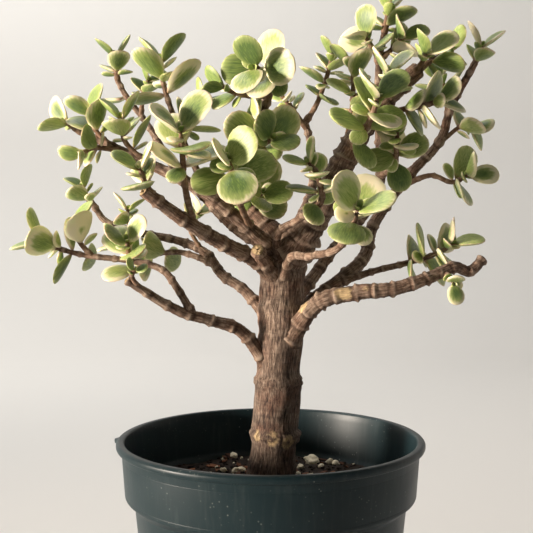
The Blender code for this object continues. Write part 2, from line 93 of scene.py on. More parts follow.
# The trunk's way points, from its foot in the soil to the crotch of the crown.
TRUNK_ROUTE = [(-1, 0, -34), (0, 0, 0), (3, 0, 40), (5, 0, 78), (6, 2, 106), (6, 3, 121)]

# Stems: name, parent, place along the parent (0 its foot, 1 its tip), then the way points in
# millimetres (right, back, above the soil), and the diameter at the foot and at the tip.
STEMS = [
    ("right_leader", "trunk", 0.94, [(14, -9, 122), (26, -20, 141), (35, -28, 161), (50, -31, 183),
     (67, -29, 199)], 16.0, 7.6),
    ("inner_right_leader", "trunk", 0.78, [(18, 13, 99), (33, 27, 118), (50, 33, 137), (57, 20, 153),
     (55, 9, 178), (55, 10, 212), (58, 12, 228)], 7.0, 3.4),
    ("upper_left_branch", "trunk", 0.95, [(-5, -8, 123), (-28, -20, 142), (-52, -22, 155), (-75, -16, 166),
     (-91, -10, 174)], 7.6, 3.6),
    ("thick_left_branch", "trunk", 0.88, [(-8, -12, 113), (-22, -24, 120), (-40, -38, 131),
     (-55, -48, 142)], 8.4, 5.4),
    ("back_left_branch", "trunk", 0.97, [(-16, 12, 127), (-36, 26, 147), (-54, 42, 166), (-68, 50, 188),
     (-80, 50, 204), (-85, 50, 213)], 5.4, 3.0),
    ("centre_leader", "trunk", 0.99, [(-4, 8, 132), (-14, 10, 146), (-13, 3, 165), (-5, -6, 181),
     (2, -14, 200)], 10.0, 3.2),
    ("centre_back_branch", "trunk", 0.98, [(16, 28, 135), (23, 45, 152), (24, 54, 172), (20, 56, 191)],
     6.6, 3.6),
    ("rear_right_branch", "trunk", 0.70, [(20, 14, 90), (38, 27, 103), (51, 36, 115), (57, 43, 133),
     (75, 44, 158), (92, 40, 177), (98, 36, 196), (109, 30, 218)], 8.8, 3.6),
    ("lower_right_branch", "trunk", 0.64, [(21, -15, 91), (39, -21, 97), (57, -22, 99), (74, -18, 104),
     (87, -14, 109), (95, -12, 107), (102, -10, 113)], 9.4, 4.6),
    ("mid_left_branch", "trunk", 0.70, [(-12, 12, 96), (-25, 22, 105), (-35, 32, 117), (-52, 42, 124),
     (-72, 50, 128), (-91, 52, 134), (-100, 52, 145)], 6.0, 3.4),
    ("lower_left_branch", "trunk", 0.56, [(-13, -8, 77), (-29, -15, 84), (-44, -20, 89), (-66, -28, 103)],
     7.4, 3.6),
    ("pruned_stub", "trunk", 0.86, [(-4, -15, 113), (-6, -24, 117)], 7.0, 6.0),
]

# Leafy shoots: name, parent, place along it, way points, diameter at the foot, pairs of leaves,
# leaf size (1 is a full leaf), leaf narrowness (1 is round) and the turn of the tip pair in degrees.
SHOOTS = [
    ("far_left_shoot", "lower_left_branch", 0.62, [(-44, -17, 99), (-52, -14, 108), (-66, -13, 112),
     (-90, -12, 115), (-104, -10, 119), (-110, -11, 122)], 3.8, 4, 1.15, 1.0, 20),
    ("far_left_riser", "far_left_shoot", 0.70, [(-91, -13, 121), (-93, -15, 128)], 2.6, 2, 1.1, 1.0, 60),
    ("far_left_inner_riser", "far_left_shoot", 0.47, [(-67, -16, 116), (-67, -21, 121)], 2.4, 3, 1.15, 1.0,
     45),
    ("lower_left_sprout", "lower_left_branch", 0.93, [(-63, -31, 105), (-61, -35, 108)], 2.0, 1, 0.5, 1.0,
     30),
    ("mid_left_tip", "mid_left_branch", 1.0, [(-103, 53, 149), (-105, 53, 154)], 3.2, 3, 0.95, 1.0, 0),
    ("mid_left_riser", "mid_left_branch", 0.78, [(-80, 49, 135), (-79, 48, 141)], 2.4, 2, 0.9, 1.0, 15),
    ("mid_left_arm", "mid_left_branch", 0.40, [(-48, 38, 117), (-66, 44, 117), (-79, 41, 123)], 3.6, 4,
     1.1, 1.0, 30),
    ("inner_left_sprout", "mid_left_branch", 0.48, [(-43, 33, 130), (-38, 30, 138)], 2.2, 2, 0.95, 1.0, 50),
    ("upper_left_tip", "upper_left_branch", 1.0, [(-94, -9, 176), (-98, -10, 178)], 3.2, 3, 1.15, 1.0, 60),
    ("upper_left_riser", "upper_left_branch", 0.86, [(-83, -15, 174), (-85, -17, 181)], 2.6, 3, 1.1, 1.0,
     70),
    ("upper_left_mid_riser", "upper_left_branch", 0.70, [(-68, -22, 168), (-69, -24, 178)], 2.6, 4, 1.0,
     1.0, 10),
    ("upper_left_low_shoot", "upper_left_branch", 0.80, [(-82, -20, 165), (-87, -24, 162)], 2.4, 2, 0.9,
     1.0, 45),
    ("thick_left_tip", "thick_left_branch", 0.93, [(-54, -49, 145), (-56, -52, 151)], 3.0, 2, 1.1, 1.0, 10),
    ("mid_front_shoot", "thick_left_branch", 0.68, [(-38, -42, 145), (-38, -50, 157), (-38, -57, 166)],
     3.0, 3, 1.35, 1.0, 45),
    ("tall_left_shoot", "upper_left_branch", 0.42, [(-41, -16, 168), (-49, -8, 188), (-53, -4, 202),
     (-53, -6, 209)], 3.6, 3, 1.3, 0.85, 0),
    ("tall_left_side_shoot", "tall_left_shoot", 0.40, [(-38, -14, 181), (-33, -14, 188)], 2.6, 3, 0.9, 0.9,
     20),
    ("back_left_tip", "back_left_branch", 1.0, [(-86, 50, 219), (-86, 47, 226)], 2.8, 4, 1.1, 1.0, 45),
    ("back_left_side_shoot", "back_left_branch", 0.84, [(-70, 46, 206), (-67, 44, 212)], 2.4, 2, 0.8, 0.9,
     55),
    ("front_rosette", "upper_left_branch", 0.20, [(-16, -32, 143), (-17, -44, 150), (-18, -56, 154)], 3.2,
     3, 1.3, 1.0, 45),
    ("centre_low_shoot", "centre_leader", 0.30, [(-8, -6, 142), (-4, -21, 144)], 2.8, 3, 1.1, 1.0, 45),
    ("centre_front_shoot", "centre_leader", 0.55, [(-8, -12, 163), (-3, -24, 166), (0, -33, 167)], 3.0, 3,
     1.25, 1.0, 25),
    ("centre_right_shoot", "trunk", 0.92, [(3, -19, 124), (13, -31, 131), (22, -41, 138), (20, -47, 149),
     (16, -50, 154)], 4.6, 4, 0.9, 1.0, 15),
    ("front_right_shoot", "trunk", 0.84, [(9, -19, 113), (18, -38, 114), (28, -56, 117), (33, -66, 126),
     (34, -76, 132)], 4.8, 2, 1.35, 1.0, 5),
    ("crown_tip", "centre_leader", 1.0, [(-3, -24, 200), (-7, -33, 199)], 2.6, 3, 1.3, 1.0, 45),
    ("crown_left_shoot", "centre_leader", 0.90, [(-9, -20, 189), (-18, -25, 190), (-22, -26, 192)], 2.6, 4,
     0.85, 0.8, 60),
    ("back_fork_left", "centre_back_branch", 0.96, [(12, 50, 198), (4, 43, 206)], 3.0, 3, 0.75, 0.9, 35),
    ("back_fork_right", "centre_back_branch", 1.0, [(26, 50, 200), (31, 45, 213), (34, 41, 225)], 3.2, 4,
     1.0, 0.85, 45),
    ("top_right_tip", "inner_right_leader", 1.0, [(59, 12, 234), (60, 12, 240)], 3.0, 4, 1.1, 0.9, 60),
    ("top_right_side_shoot", "inner_right_leader", 0.92, [(61, 9, 219), (65, 3, 223)], 2.6, 2, 1.1, 1.1,
     45),
    ("top_right_inner_shoot", "inner_right_leader", 0.90, [(52, 7, 218), (47, 1, 223)], 2.4, 2, 1.1, 1.1,
     45),
    ("leader_riser", "right_leader", 0.95, [(67, -34, 200), (69, -38, 204)], 2.8, 3, 1.1, 0.9, 45),
    ("leader_tip", "right_leader", 0.98, [(73, -29, 203), (80, -27, 207)], 2.8, 3, 1.1, 0.85, 50),
    ("leader_inner_shoot", "right_leader", 0.80, [(51, -35, 189), (52, -39, 195)], 2.8, 3, 1.1, 1.0, 45),
    ("leader_front_shoot", "right_leader", 0.56, [(41, -41, 169), (44, -49, 176), (45, -54, 181)], 3.4, 4,
     1.15, 1.0, 45),
    ("leader_side_shoot", "right_leader", 0.73, [(58, -38, 179), (67, -42, 180), (74, -43, 182)], 3.0, 3,
     1.05, 1.0, 45),
    ("leader_back_riser", "right_leader", 0.52, [(38, -18, 182), (39, -16, 198), (38, -15, 206)], 3.0, 4,
     1.0, 0.8, 40),
    ("right_inner_shoot", "inner_right_leader", 0.58, [(60, -4, 158), (58, -24, 162), (57, -33, 170)], 3.2,
     4, 0.95, 1.0, 45),
    ("rear_right_tip", "rear_right_branch", 1.0, [(111, 29, 222), (112, 28, 226)], 2.8, 3, 1.0, 0.9, 20),
    ("rear_right_riser", "rear_right_branch", 0.84, [(94, 36, 206), (92, 36, 211)], 2.6, 3, 1.0, 0.9, 80),
    ("rear_right_outer_shoot", "rear_right_branch", 0.74, [(104, 39, 186), (110, 39, 184)], 2.6, 2, 1.0,
     1.0, 30),
    ("rear_right_side_arm", "rear_right_branch", 0.60, [(87, 40, 159), (98, 36, 155), (105, 28, 158)], 3.2,
     2, 1.15, 1.0, 45),
    ("low_right_riser", "rear_right_branch", 0.24, [(54, 22, 107), (73, 14, 112), (86, 7, 117),
     (90, 4, 121)], 4.2, 4, 1.15, 1.0, 25),
    ("lower_right_sprout", "lower_right_branch", 0.80, [(84, -22, 104), (84, -26, 102)], 2.2, 1, 0.75, 1.0,
     45),
]

# Granules lying on the soil: angle round the trunk in degrees, distance from the axis and size.
GRANULES = [("pumice_granule_large", 62, 0.050, 1.0), ("pumice_granule_small", 74, 0.036, 0.65)]
ROOT_ANGLES = (25, 112, 205, 300)

# Places where the bark is scarred: way point in millimetres, reach and how bare the wood is.
PEELED_BARK = [
    ((14, -15, 91), 5.0, 0.55),
    ((33, -26, 98), 6.5, 0.75),
    ((44, -27, 99), 3.5, 0.35),
    ((-6, -22, 117), 4.0, 0.6),
    ((0, -14, 27), 6.5, 0.45),
    ((8, -10, 25), 5.0, 0.45),
    ((-8, -10, 28), 5.0, 0.35),
    ((34, -28, 158), 5.0, 0.35),
]

# Stems that end in a pruning cut (1) or in torn wood (2).
TORN_ENDS = {"right_leader": 2.0, "thick_left_branch": 1.0, "pruned_stub": 1.0, "lower_left_branch": 1.0,
             "centre_back_branch": 2.0, "lower_right_branch": 2.0}

# Swellings of the trunk: height above the soil, half their spread and how far they stand out, in metres.
TRUNK_SWELLINGS = [(0.0, 0.010, 0.0013), (0.053, 0.0022, 0.0009), (0.027, 0.0034, 0.0011),
                   (0.083, 0.008, 0.0012), (0.108, 0.009, 0.0010)]
TRUNK_BELOW_SOIL = 0.034
CUT_TIP = (0.0, 1.0)
TRUNK_TAPER = 0.86
CALLUS_HEIGHT = 0.027

# Leaves: the first pair's distance from the tip, the pitch of each pair, and what a leaf without room tries.
TIP_DROP = 0.0006
PAIR_PITCHES = (52, 30, 18, 10)
LEAF_TILTS = (0, 14, -14, 28, -28, 42)
LEAF_SHRINKS = (1.0, 0.8, 0.62)
YOUNG_DROP = 0.0035
YOUNG_SIZE = 0.52
YOUNG_TURN = 45
YOUNG_PAIRS = 3

# A direction that no stem follows, from which each stem's crosswise axes are measured.
ACROSS = Vector((0.31, 0.93, 0.2))


def hex_colour(code):
    """Linear RGB of an sRGB hex colour."""
    channels = [int(code[i:i + 2], 16) / 255 for i in (1, 3, 5)]
    return tuple(c / 12.92 if c <= 0.04045 else ((c + 0.055) / 1.055) ** 2.4 for c in channels)


def colour_property(name, description, code):
    return FloatVectorProperty(name=name, description=description, subtype="COLOR", size=3, min=0, max=1,
                               default=hex_colour(code))


def size_property(name, description, default):
    return FloatProperty(name=name, description=description, unit="LENGTH", precision=4, default=default)


def power_property(name, description, default):
    return FloatProperty(name=name, description=description, unit="POWER", default=default)


# Settings

class JadePotSettings(bpy.types.PropertyGroup):
    """Sizes and colour of the nursery pot"""
    height: size_property("Height", "Height of the pot", POT_HIGH.z - POT_LOW.z)
    rim_diameter: size_property("Rim", "Diameter outside the rolled lip", POT_HIGH.x - POT_LOW.x)
    base_diameter: size_property("Base", "Diameter of the base", 0.108)
    wall: size_property("Wall", "Thickness of the wall", 0.0018)
    floor: size_property("Floor", "Thickness of the floor", 0.0025)
    lip_height: size_property("Lip height", "Height of the rolled lip", 0.0036)
    lip_out: size_property("Lip reach", "How far the lip stands out from the collar", 0.0026)
    collar_height: size_property("Collar height", "Height of the collar below the rim", 0.026)
    collar_out: size_property("Collar step", "How far the collar stands out from the body", 0.0045)
    collar_taper: size_property("Collar taper", "How much the collar narrows downwards", 0.0020)
    drain_diameter: size_property("Drain hole", "Diameter of a drain hole", 0.008)
    drain_inset: size_property("Drain inset", "Distance of the drain holes from the base's edge", 0.014)
    drain_holes: IntProperty(name="Drain holes", description="Number of drain holes", default=8, min=3)
    plastic: colour_property("Plastic", "Colour of the moulded plastic", "#132428")
    dust: colour_property("Dust", "Colour of dust and lime marks", "#8C918B")


class JadeSoilSettings(bpy.types.PropertyGroup):
    """Sizes and colours of the compost and what lies on it"""
    below_rim: size_property("Below rim", "Depth of the compost's top below the rim", 0.026)
    unevenness: size_property("Unevenness", "Height of the lumps in the compost", 0.0016)
    granule: size_property("Granule", "Size of the large pumice granule", 0.0075)
    crumbs: IntProperty(name="Crumbs", description="Number of compost crumbs", default=900, min=0)
    chips: IntProperty(name="Bark chips", description="Number of bark chips", default=130, min=0)
    grit: IntProperty(name="Grit", description="Number of small pumice grains", default=80, min=0)
    compost: colour_property("Compost", "Colour of damp compost", "#251C16")
    chip: colour_property("Bark chip", "Colour of composted bark chips", "#633D27")
    pumice: colour_property("Pumice", "Colour of pumice", "#D3C8B0")


class JadePlantSettings(bpy.types.PropertyGroup):
    """Sizes and colours of the stems"""
    height: size_property("Height", "Height of the plant above the compost", 0.248)
    width: size_property("Width", "Width of the crown", 0.246)
    trunk_diameter: size_property("Trunk", "Diameter of the trunk above the compost", 0.0240)
    stem_thickness: FloatProperty(name="Stem thickness", description="Scale of all diameters", default=1.0)
    bark: colour_property("Bark", "Colour of the old bark", "#7E6959")
    bark_dark: colour_property("Bark cracks", "Colour in the cracks of the bark", "#33241C")
    bark_pale: colour_property("Weathered bark", "Colour of the bark's weathered ridges", "#B6A28F")
    bark_red: colour_property("Fresh bark", "Colour of the fresh red-brown bark", "#8C4A26")
    callus: colour_property("Callus", "Colour of peeled bark and callus", "#CBAF82")
    heartwood: colour_property("Torn wood", "Colour of torn wood at the ends", "#7E4426")
    twig: colour_property("Young twig", "Colour of a young twig", "#85664C")


class JadeLeafSettings(bpy.types.PropertyGroup):
    """Sizes and colours of the leaves"""
    length: size_property("Length", "Length of a full leaf", 0.0158)
    width: size_property("Width", "Width of a full leaf", 0.0118)
    thickness: size_property("Thickness", "Thickness of a full leaf", 0.0028)
    spacing: size_property("Spacing", "Distance between pairs of leaves", 0.0075)
    green: colour_property("Green", "Colour of the middle of a leaf", "#839850")
    deep_green: colour_property("Deep green", "Colour of older leaves", "#566D3C")
    lime: colour_property("Lime", "Colour between the middle and the margin", "#B1BA74")
    cream: colour_property("Cream", "Colour of the leaf's margin", "#E2D9B6")
    pink: colour_property("Pink", "Colour of the sunned rim of a leaf", "#DCA898")
    stalk: colour_property("Stalk", "Colour of the leaf's short red stalk", "#8B5B42")


class JadeStageSettings(bpy.types.PropertyGroup):
    """The studio round the plant"""
    paper: colour_property("Paper", "Colour of the background sweep", "#DFDDDA")
    key_power: power_property("Key light", "Power of the key light", 5.4)
    fill_power: power_property("Fill light", "Power of the fill light", 0.3)
    wall_power: power_property("Wall light", "Power of the backdrop's light", 34.0)
    sky: FloatProperty(name="Sky", description="Strength of the light from all round", default=0.10)


# Shared tools

def add_node(tree, kind, inputs=None, stops=None, to=None, **settings):
    """Add a node with its settings, input values or links, a ramp's stops and a link from its result."""
    node = tree.nodes.new("ShaderNode" + kind)
    for key, value in settings.items():
        setattr(node, key, value)
    for key, value in (inputs or {}).items():
        if isinstance(value, bpy.types.Node):
            value = result_of(value)
        if isinstance(value, bpy.types.NodeSocket):
            tree.links.new(value, node.inputs[key])
        else:
            node.inputs[key].default_value = value
    if stops:
        elements = node.color_ramp.elements
        while len(elements) < len(stops):
            elements.new(0.5)
        for element, (position, colour) in zip(elements, stops):
            element.position = position
            element.color = (*colour[:3], 1.0)
    if to:
        tree.links.new(result_of(node), to)
    return node


def result_of(node):
    """The first output that the node's settings leave in use."""
    return next(socket for socket in node.outputs if socket.enabled)


def new_material(name, roughness, specular):
    """An empty Principled material, add_node for its tree, and its shader."""
    material = bpy.data.materials.new(name)
    material.use_nodes = True
    shader = material.node_tree.nodes["Principled BSDF"]
    shader.inputs["Roughness"].default_value = roughness
    shader.inputs["Specular IOR Level"].default_value = specular
    return material, partial(add_node, material.node_tree), shader


def lay_colours(add, under, layers):
    """Lay colours over the one below in turn, each as strongly as its mask."""
    for mask, colour in layers:
        over = colour if isinstance(colour, bpy.types.Node) else (*colour, 1.0)
        under = add("Mix", {0: mask, 6: under, 7: over}, data_type="RGBA")
    return under


def dress(add, shader, colour, pattern, strength, depth):
    """Give the shader its colour, and a pattern that stands out of it as fine relief."""
    shader.id_data.links.new(result_of(colour), shader.inputs["Base Color"])
    add("Bump", {"Height": pattern, "Strength": strength, "Distance": depth}, to=shader.inputs["Normal"])


def object_from_bmesh(name, bm, material, sharp):
    """Put a closed bmesh into the scene as a smooth object with its edges kept sharp past an angle."""
    bmesh.ops.recalc_face_normals(bm, faces=bm.faces)
    mesh = bpy.data.meshes.new(name)
    bm.to_mesh(mesh)
    bm.free()
    mesh.materials.append(material)
    mesh.shade_smooth()
    mesh.set_sharp_from_angle(angle=math.radians(sharp))
    made = bpy.data.objects.new(name, mesh)
    bpy.context.scene.collection.objects.link(made)
    return made


def piece_from_bmesh(name, bm, material, slot, replaced=(), sharp=35):
    """Finish a piece that rides with the plant and takes the place of the frame's nodes."""
    piece = object_from_bmesh(name, bm, material, sharp)
    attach(piece, BODY)
    if replaced:
        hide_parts(*replaced)
    return piece


def turned_solid(profile, segments):
    """Spin a half profile of (radius, height) points round the Z axis."""
    bm = bmesh.new()
    verts = [bm.verts.new((radius, 0, height)) for radius, height in profile]
    edges = [bm.edges.new(pair) for pair in zip(verts, verts[1:])]
    bmesh.ops.spin(bm, geom=verts + edges, axis=UP, cent=(0, 0, 0), angle=math.tau, steps=segments,
                   use_merge=True)
    bmesh.ops.remove_doubles(bm, verts=bm.verts, dist=1e-6)
    return bm


def rounded(profile, corner, steps):
    """The profile with its corners rounded by arcs of up to the corner radius."""
    soft = [profile[0]]
    for before, at, after in zip(profile, profile[1:], profile[2:]):
        here = Vector(at)
        back = Vector(before) - here
        ahead = Vector(after) - here
        reach = min(corner, back.length * 0.45, ahead.length * 0.45)
        start = here + back.normalized() * reach
        end = here + ahead.normalized() * reach
        for step in range(steps + 1):
            t = step / steps
            soft.append(tuple(start.lerp(here, t).lerp(here.lerp(end, t), t)))
    return soft + [profile[-1]]


# Pot

def collar_radius(pot, height):
    top = pot.rim_diameter / 2 - pot.lip_out
    below = (pot.height - pot.lip_height - height) / pot.collar_height
    return top - pot.collar_taper * below


def body_top(pot):
    """Height and outside radius where the tapered body meets the collar's step."""
    height = pot.height - pot.collar_height - pot.collar_out * 0.8
    return height, collar_radius(pot, pot.height - pot.collar_height) - pot.collar_out


def body_radius(pot, height):
    top_height, top_radius = body_top(pot)
    return pot.base_diameter / 2 + (top_radius - pot.base_diameter / 2) * height / top_height


def moulded_polypropylene(pot):
    """Injection-moulded polypropylene: satin, dark grey-green, with dust, drag marks and faint scuffs."""
    material, add, shader = new_material("moulded_polypropylene", 0.40, 0.28)
    place = add("TexCoord").outputs["Object"]
    upright = add("Mapping", {"Vector": place, "Scale": (1.0, 1.0, 0.08)})
    # Drag marks run down the wall, about 1.2 mm apart.
    drags = add("TexNoise", {"Vector": upright, "Scale": 420.0, "Detail": 4.0, "Roughness": 0.6})
    clouds = add("TexNoise", {"Vector": place, "Scale": 42.0, "Detail": 5.0, "Roughness": 0.62})
    # Dust lies in specks under 0.5 mm wide, in clumps, and along the drag marks.
    specks = add("TexVoronoi", {"Vector": place, "Scale": 430.0, "Randomness": 1.0})
    dots = add("MapRange", {0: specks, 1: 0.19, 2: 0.09, 4: 0.5})
    clumps = add("MapRange", {0: clouds, 1: 0.47, 2: 0.62})
    streaks = add("MapRange", {0: drags, 1: 0.52, 2: 0.80, 4: 0.05})
    dusty = add("Math", {0: dots, 1: clumps, 2: streaks}, operation="MULTIPLY_ADD", use_clamp=True)
    shade = add("MapRange", {0: clouds, 3: 0.80, 4: 1.22})
    tinted = add("HueSaturation", {"Value": shade, "Color": (*pot.plastic, 1.0)})
    add("MapRange", {0: clouds, 3: 0.32, 4: 0.50}, to=shader.inputs["Roughness"])
    dress(add, shader, lay_colours(add, tinted, [(dusty, pot.dust)]), drags, 0.06, 0.0003)
    return material


class JADE_OT_pot(bpy.types.Operator):
    """Build the moulded nursery pot with its lip, collar, mould lines and drain holes"""
    bl_idname = "jade.make_pot"
    bl_label = "Nursery Pot"

    def execute(self, context):
        pot = context.scene.jade_pot
        top_height, top_radius = body_top(pot)
        rim = pot.rim_diameter / 2
        collar_low = pot.height - pot.collar_height
        lip_low = pot.height - pot.lip_height
        inner_low = collar_low + pot.wall
        ridge = 0.00012
        lines = []
        # Faint mould lines run round the collar, under the lip and above the step.
        for drop in (0.0042, 0.0205):
            at = lip_low - drop
            radius = collar_radius(pot, at)
            lines += [(radius, at + ridge), (radius - ridge * 0.6, at), (radius, at - ridge)]
        shelf = top_height - 0.0035
        profile = [
            (0, 0.0006),
            (pot.base_diameter / 2 - 0.0065, 0.0006),
            (pot.base_diameter / 2 - 0.0055, 0),
            (pot.base_diameter / 2 - pot.wall, 0),
            (pot.base_diameter / 2, pot.wall),
            (top_radius, top_height),
            (collar_radius(pot, collar_low), collar_low),
            *reversed(lines),
            (collar_radius(pot, lip_low), lip_low),
            (rim - pot.lip_out * 0.2, lip_low),
            (rim, lip_low + pot.lip_height * 0.3),
            (rim, pot.height - pot.lip_height * 0.3),
            (rim - pot.lip_out * 0.4, pot.height),
            (rim - pot.lip_out - pot.wall * 0.7, pot.height),
            (collar_radius(pot, lip_low) - pot.wall, lip_low),
            (collar_radius(pot, inner_low) - pot.wall, inner_low),
            (top_radius - pot.wall + 0.0006, top_height),
            (top_radius - pot.wall, shelf),
            (body_radius(pot, pot.floor) - pot.wall, pot.floor),
            (0, pot.floor),
        ]
        bm = turned_solid(rounded(profile, 0.0011, 4), 192)
        # A nib of flash stands out from the lip where the mould halves met.
        for vert in bm.verts:
            turn = math.degrees(math.atan2(vert.co.y, vert.co.x)) % 360
            near = max(0.0, 1 - abs(turn - 182) / 2.2)
            if near and vert.co.xy.length > rim - 0.0004:
                vert.co.xy *= 1 + 0.022 * near
        plastic = moulded_polypropylene(pot)
        piece = piece_from_bmesh("pot_shell", bm, plastic, "pot_plastic", ["nursery_pot"], 40)
        drills = bmesh.new()
        for index in range(pot.drain_holes):
            angle = math.tau * (index + 0.5) / pot.drain_holes
            reach = pot.base_diameter / 2 - pot.drain_inset
            place = Matrix.Translation((reach * math.cos(angle), reach * math.sin(angle), pot.floor / 2))
            bmesh.ops.create_cone(drills, cap_ends=True, segments=32, radius1=pot.drain_diameter / 2,
                                  radius2=pot.drain_diameter / 2, depth=pot.floor * 3, matrix=place)
        cut_piece(piece, drills)
        return {"FINISHED"}


def cut_piece(piece, drills):
    """Cut the drills out of the piece and apply the cut."""
    mesh = bpy.data.meshes.new("drills")
    drills.to_mesh(mesh)
    drills.free()
    tool = bpy.data.objects.new("drills", mesh)
    bpy.context.scene.collection.objects.link(tool)
    boolean = piece.modifiers.new("drain_holes", "BOOLEAN")
    boolean.operation = "DIFFERENCE"
    boolean.object = tool
    graph = bpy.context.evaluated_depsgraph_get()
    result = bpy.data.meshes.new_from_object(piece.evaluated_get(graph))
    piece.modifiers.clear()
    piece.data = result
    bpy.data.objects.remove(tool, do_unlink=True)


# Compost

def soil_top(pot, soil):
    return pot.height - soil.below_rim


def soil_height(pot, soil, x, y):
    """Top of the compost: the low uneven mound of the frame's plug, with small lumps on it."""
    radius = math.hypot(x, y)
    mound = 0.002 * (1 - radius / (pot.rim_diameter / 2))
    lumps = soil.unevenness * noise.noise(Vector((x, y, 0)) / 0.016)
    lumps += 0.0009 * noise.noise(Vector((x, y, 5)) / 0.0045)
    lumps += 0.0005 * noise.noise(Vector((x, y, 9)) / 0.0017)
    return soil_top(pot, soil) + mound + lumps


def loose_material(name, gloss, colour, shades, patterns, share, strength, depth):
    """A matt material: its first pattern and each lump's own tone pick the shade, its last stands out."""
    material, add, shader = new_material(name, *gloss)
    place = add("TexCoord").outputs["Object"]
    tone = add("Attribute", attribute_name="tone").outputs["Fac"]
    nodes = [add(kind, {"Vector": place, **values}) for kind, values in patterns]
    added = add("Math", {0: nodes[0], 1: share, 2: tone}, operation="MULTIPLY_ADD")
    stops = [(at, tuple(min(1.0, c * factor) for c in colour)) for at, factor in shades]
    dress(add, shader, add("ValToRGB", {0: added}, stops), nodes[-1], strength, depth)
    return material


def damp_compost(soil):
    """Damp peat-free compost: dark, matt and fibrous, with paler fibres and grains about 1 mm across."""
    grains = ("TexNoise", {"Scale": 900.0, "Detail": 6.0, "Roughness": 0.7})
    shades = [(0.25, 0.30), (0.62, 1.0), (1.0, 2.6)]
    return loose_material("damp_compost", (0.93, 0.25), soil.compost, shades, [grains], 1.0, 0.7, 0.0006)


def composted_bark(soil):
    """Composted bark chips: split flakes with a fibrous face, brown to nearly black."""
    fibres = ("TexNoise", {"Scale": 700.0, "Detail": 5.0, "Distortion": 0.8})
    shades = [(0.2, 0.22), (0.6, 1.0), (0.95, 1.9)]
    return loose_material("composted_bark", (0.85, 0.3), soil.chip, shades, [fibres], 0.5, 0.6, 0.0004)


def pumice_stone(soil):
    """Pumice: pale, matt, full of pits about 0.4 mm wide, and stained brown in its hollows."""
    stain = ("TexNoise", {"Scale": 320.0, "Detail": 4.0})
    pits = ("TexVoronoi", {"Scale": 1900.0})
    shades = [(0.28, 0.35), (0.62, 1.0), (1.0, 1.2)]
    return loose_material("pumice_stone", (0.92, 0.3), soil.pumice, shades, [stain, pits], 1.0, 0.5, 0.0003)


def lumpy_stone(bm, detail, size, seed, spot, squash):
    """Add one rounded broken stone and return its vertices."""
    made = bmesh.ops.create_icosphere(bm, subdivisions=detail, radius=size / 2)["verts"]
    shift = Vector((seed * 7.1, seed * 3.3, seed * 1.7))
    for vert in made:
        dent = 0.42 * noise.noise(vert.co / size * 2.6 + shift)
        dent += 0.16 * noise.noise(vert.co / size * 6 + shift)
        vert.co *= 1 + dent
    turn = Matrix.Rotation(seed * 2.4, 4, "Z") @ Matrix.Rotation(seed * 1.3, 4, "X")
    place = Matrix.Translation(spot) @ Matrix.Diagonal((*squash, 1)) @ turn
    bmesh.ops.transform(bm, verts=made, matrix=place)
    return made


def scatter(pot, soil, chance, count, near_trunk):
    """Spots on the compost, clear of the trunk and the wall."""
    edge = body_top(pot)[1] - pot.wall - 0.002
    for _ in range(count):
        reach = math.sqrt(chance.uniform((near_trunk / edge) ** 2, 1)) * edge
        turn = chance.uniform(0, math.tau)
        x, y = reach * math.cos(turn), reach * math.sin(turn)
        yield Vector((x, y, soil_height(pot, soil, x, y)))


class JADE_OT_soil(bpy.types.Operator):
    """Build the compost with its crumbs, bark chips and pumice grit"""
    bl_idname = "jade.make_soil"
    bl_label = "Compost"

    def execute(self, context):
        pot = context.scene.jade_pot
        soil = context.scene.jade_soil
        step_height, top_radius = body_top(pot)
        edge = top_radius - pot.wall - GAP
        rings = 56
        profile = [
            (0, pot.floor + GAP),
            (body_radius(pot, pot.floor) - pot.wall - GAP, pot.floor + GAP),
            (edge - 0.0006, step_height - 0.004),
            (edge, soil_top(pot, soil) - 0.0012),
        ]
        profile += [(edge * ring / rings, soil_top(pot, soil)) for ring in range(rings, -1, -1)]
        bm = turned_solid(profile, 168)
        tone = bm.verts.layers.float.new("tone")
        for vert in bm.verts:
            vert[tone] = 0.12
            if abs(vert.co.z - soil_top(pot, soil)) < 1e-6:
                vert.co.z = soil_height(pot, soil, vert.co.x, vert.co.y)
        compost = damp_compost(soil)
        piece_from_bmesh("compost", bm, compost, "potting_compost", ["potting_soil"], 60)
        for name, lump, count, near_trunk, seed, material, slot in (
            ("compost_crumbs", crumb, soil.crumbs, 0.0135, 11, compost, "potting_compost"),
            ("bark_chips", chip, soil.chips, 0.016, 23, composted_bark(soil), "potting_compost"),
            ("pumice_grit", pumice_grain, soil.grit, 0.015, 31, pumice_stone(soil), "pumice"),
        ):
            chance = random.Random(seed)
            bm = bmesh.new()
            tone = bm.verts.layers.float.new("tone")
            for index, spot in enumerate(scatter(pot, soil, chance, count, near_trunk)):
                made, shade = lump(bm, chance, index, spot)
                for vert in made:
                    vert[tone] = shade
            piece_from_bmesh(name, bm, material, slot)
        return {"FINISHED"}


def crumb(bm, chance, index, spot):
    """Add a crumb of compost and return its vertices and its tone."""
    size = chance.uniform(0.8, 2.6) * MM
    squash = (1, chance.uniform(0.6, 1), 0.75)
    made = lumpy_stone(bm, 1, size, index, spot + UP * size * 0.15, squash)
    return made, chance.uniform(-0.15, 0.32)


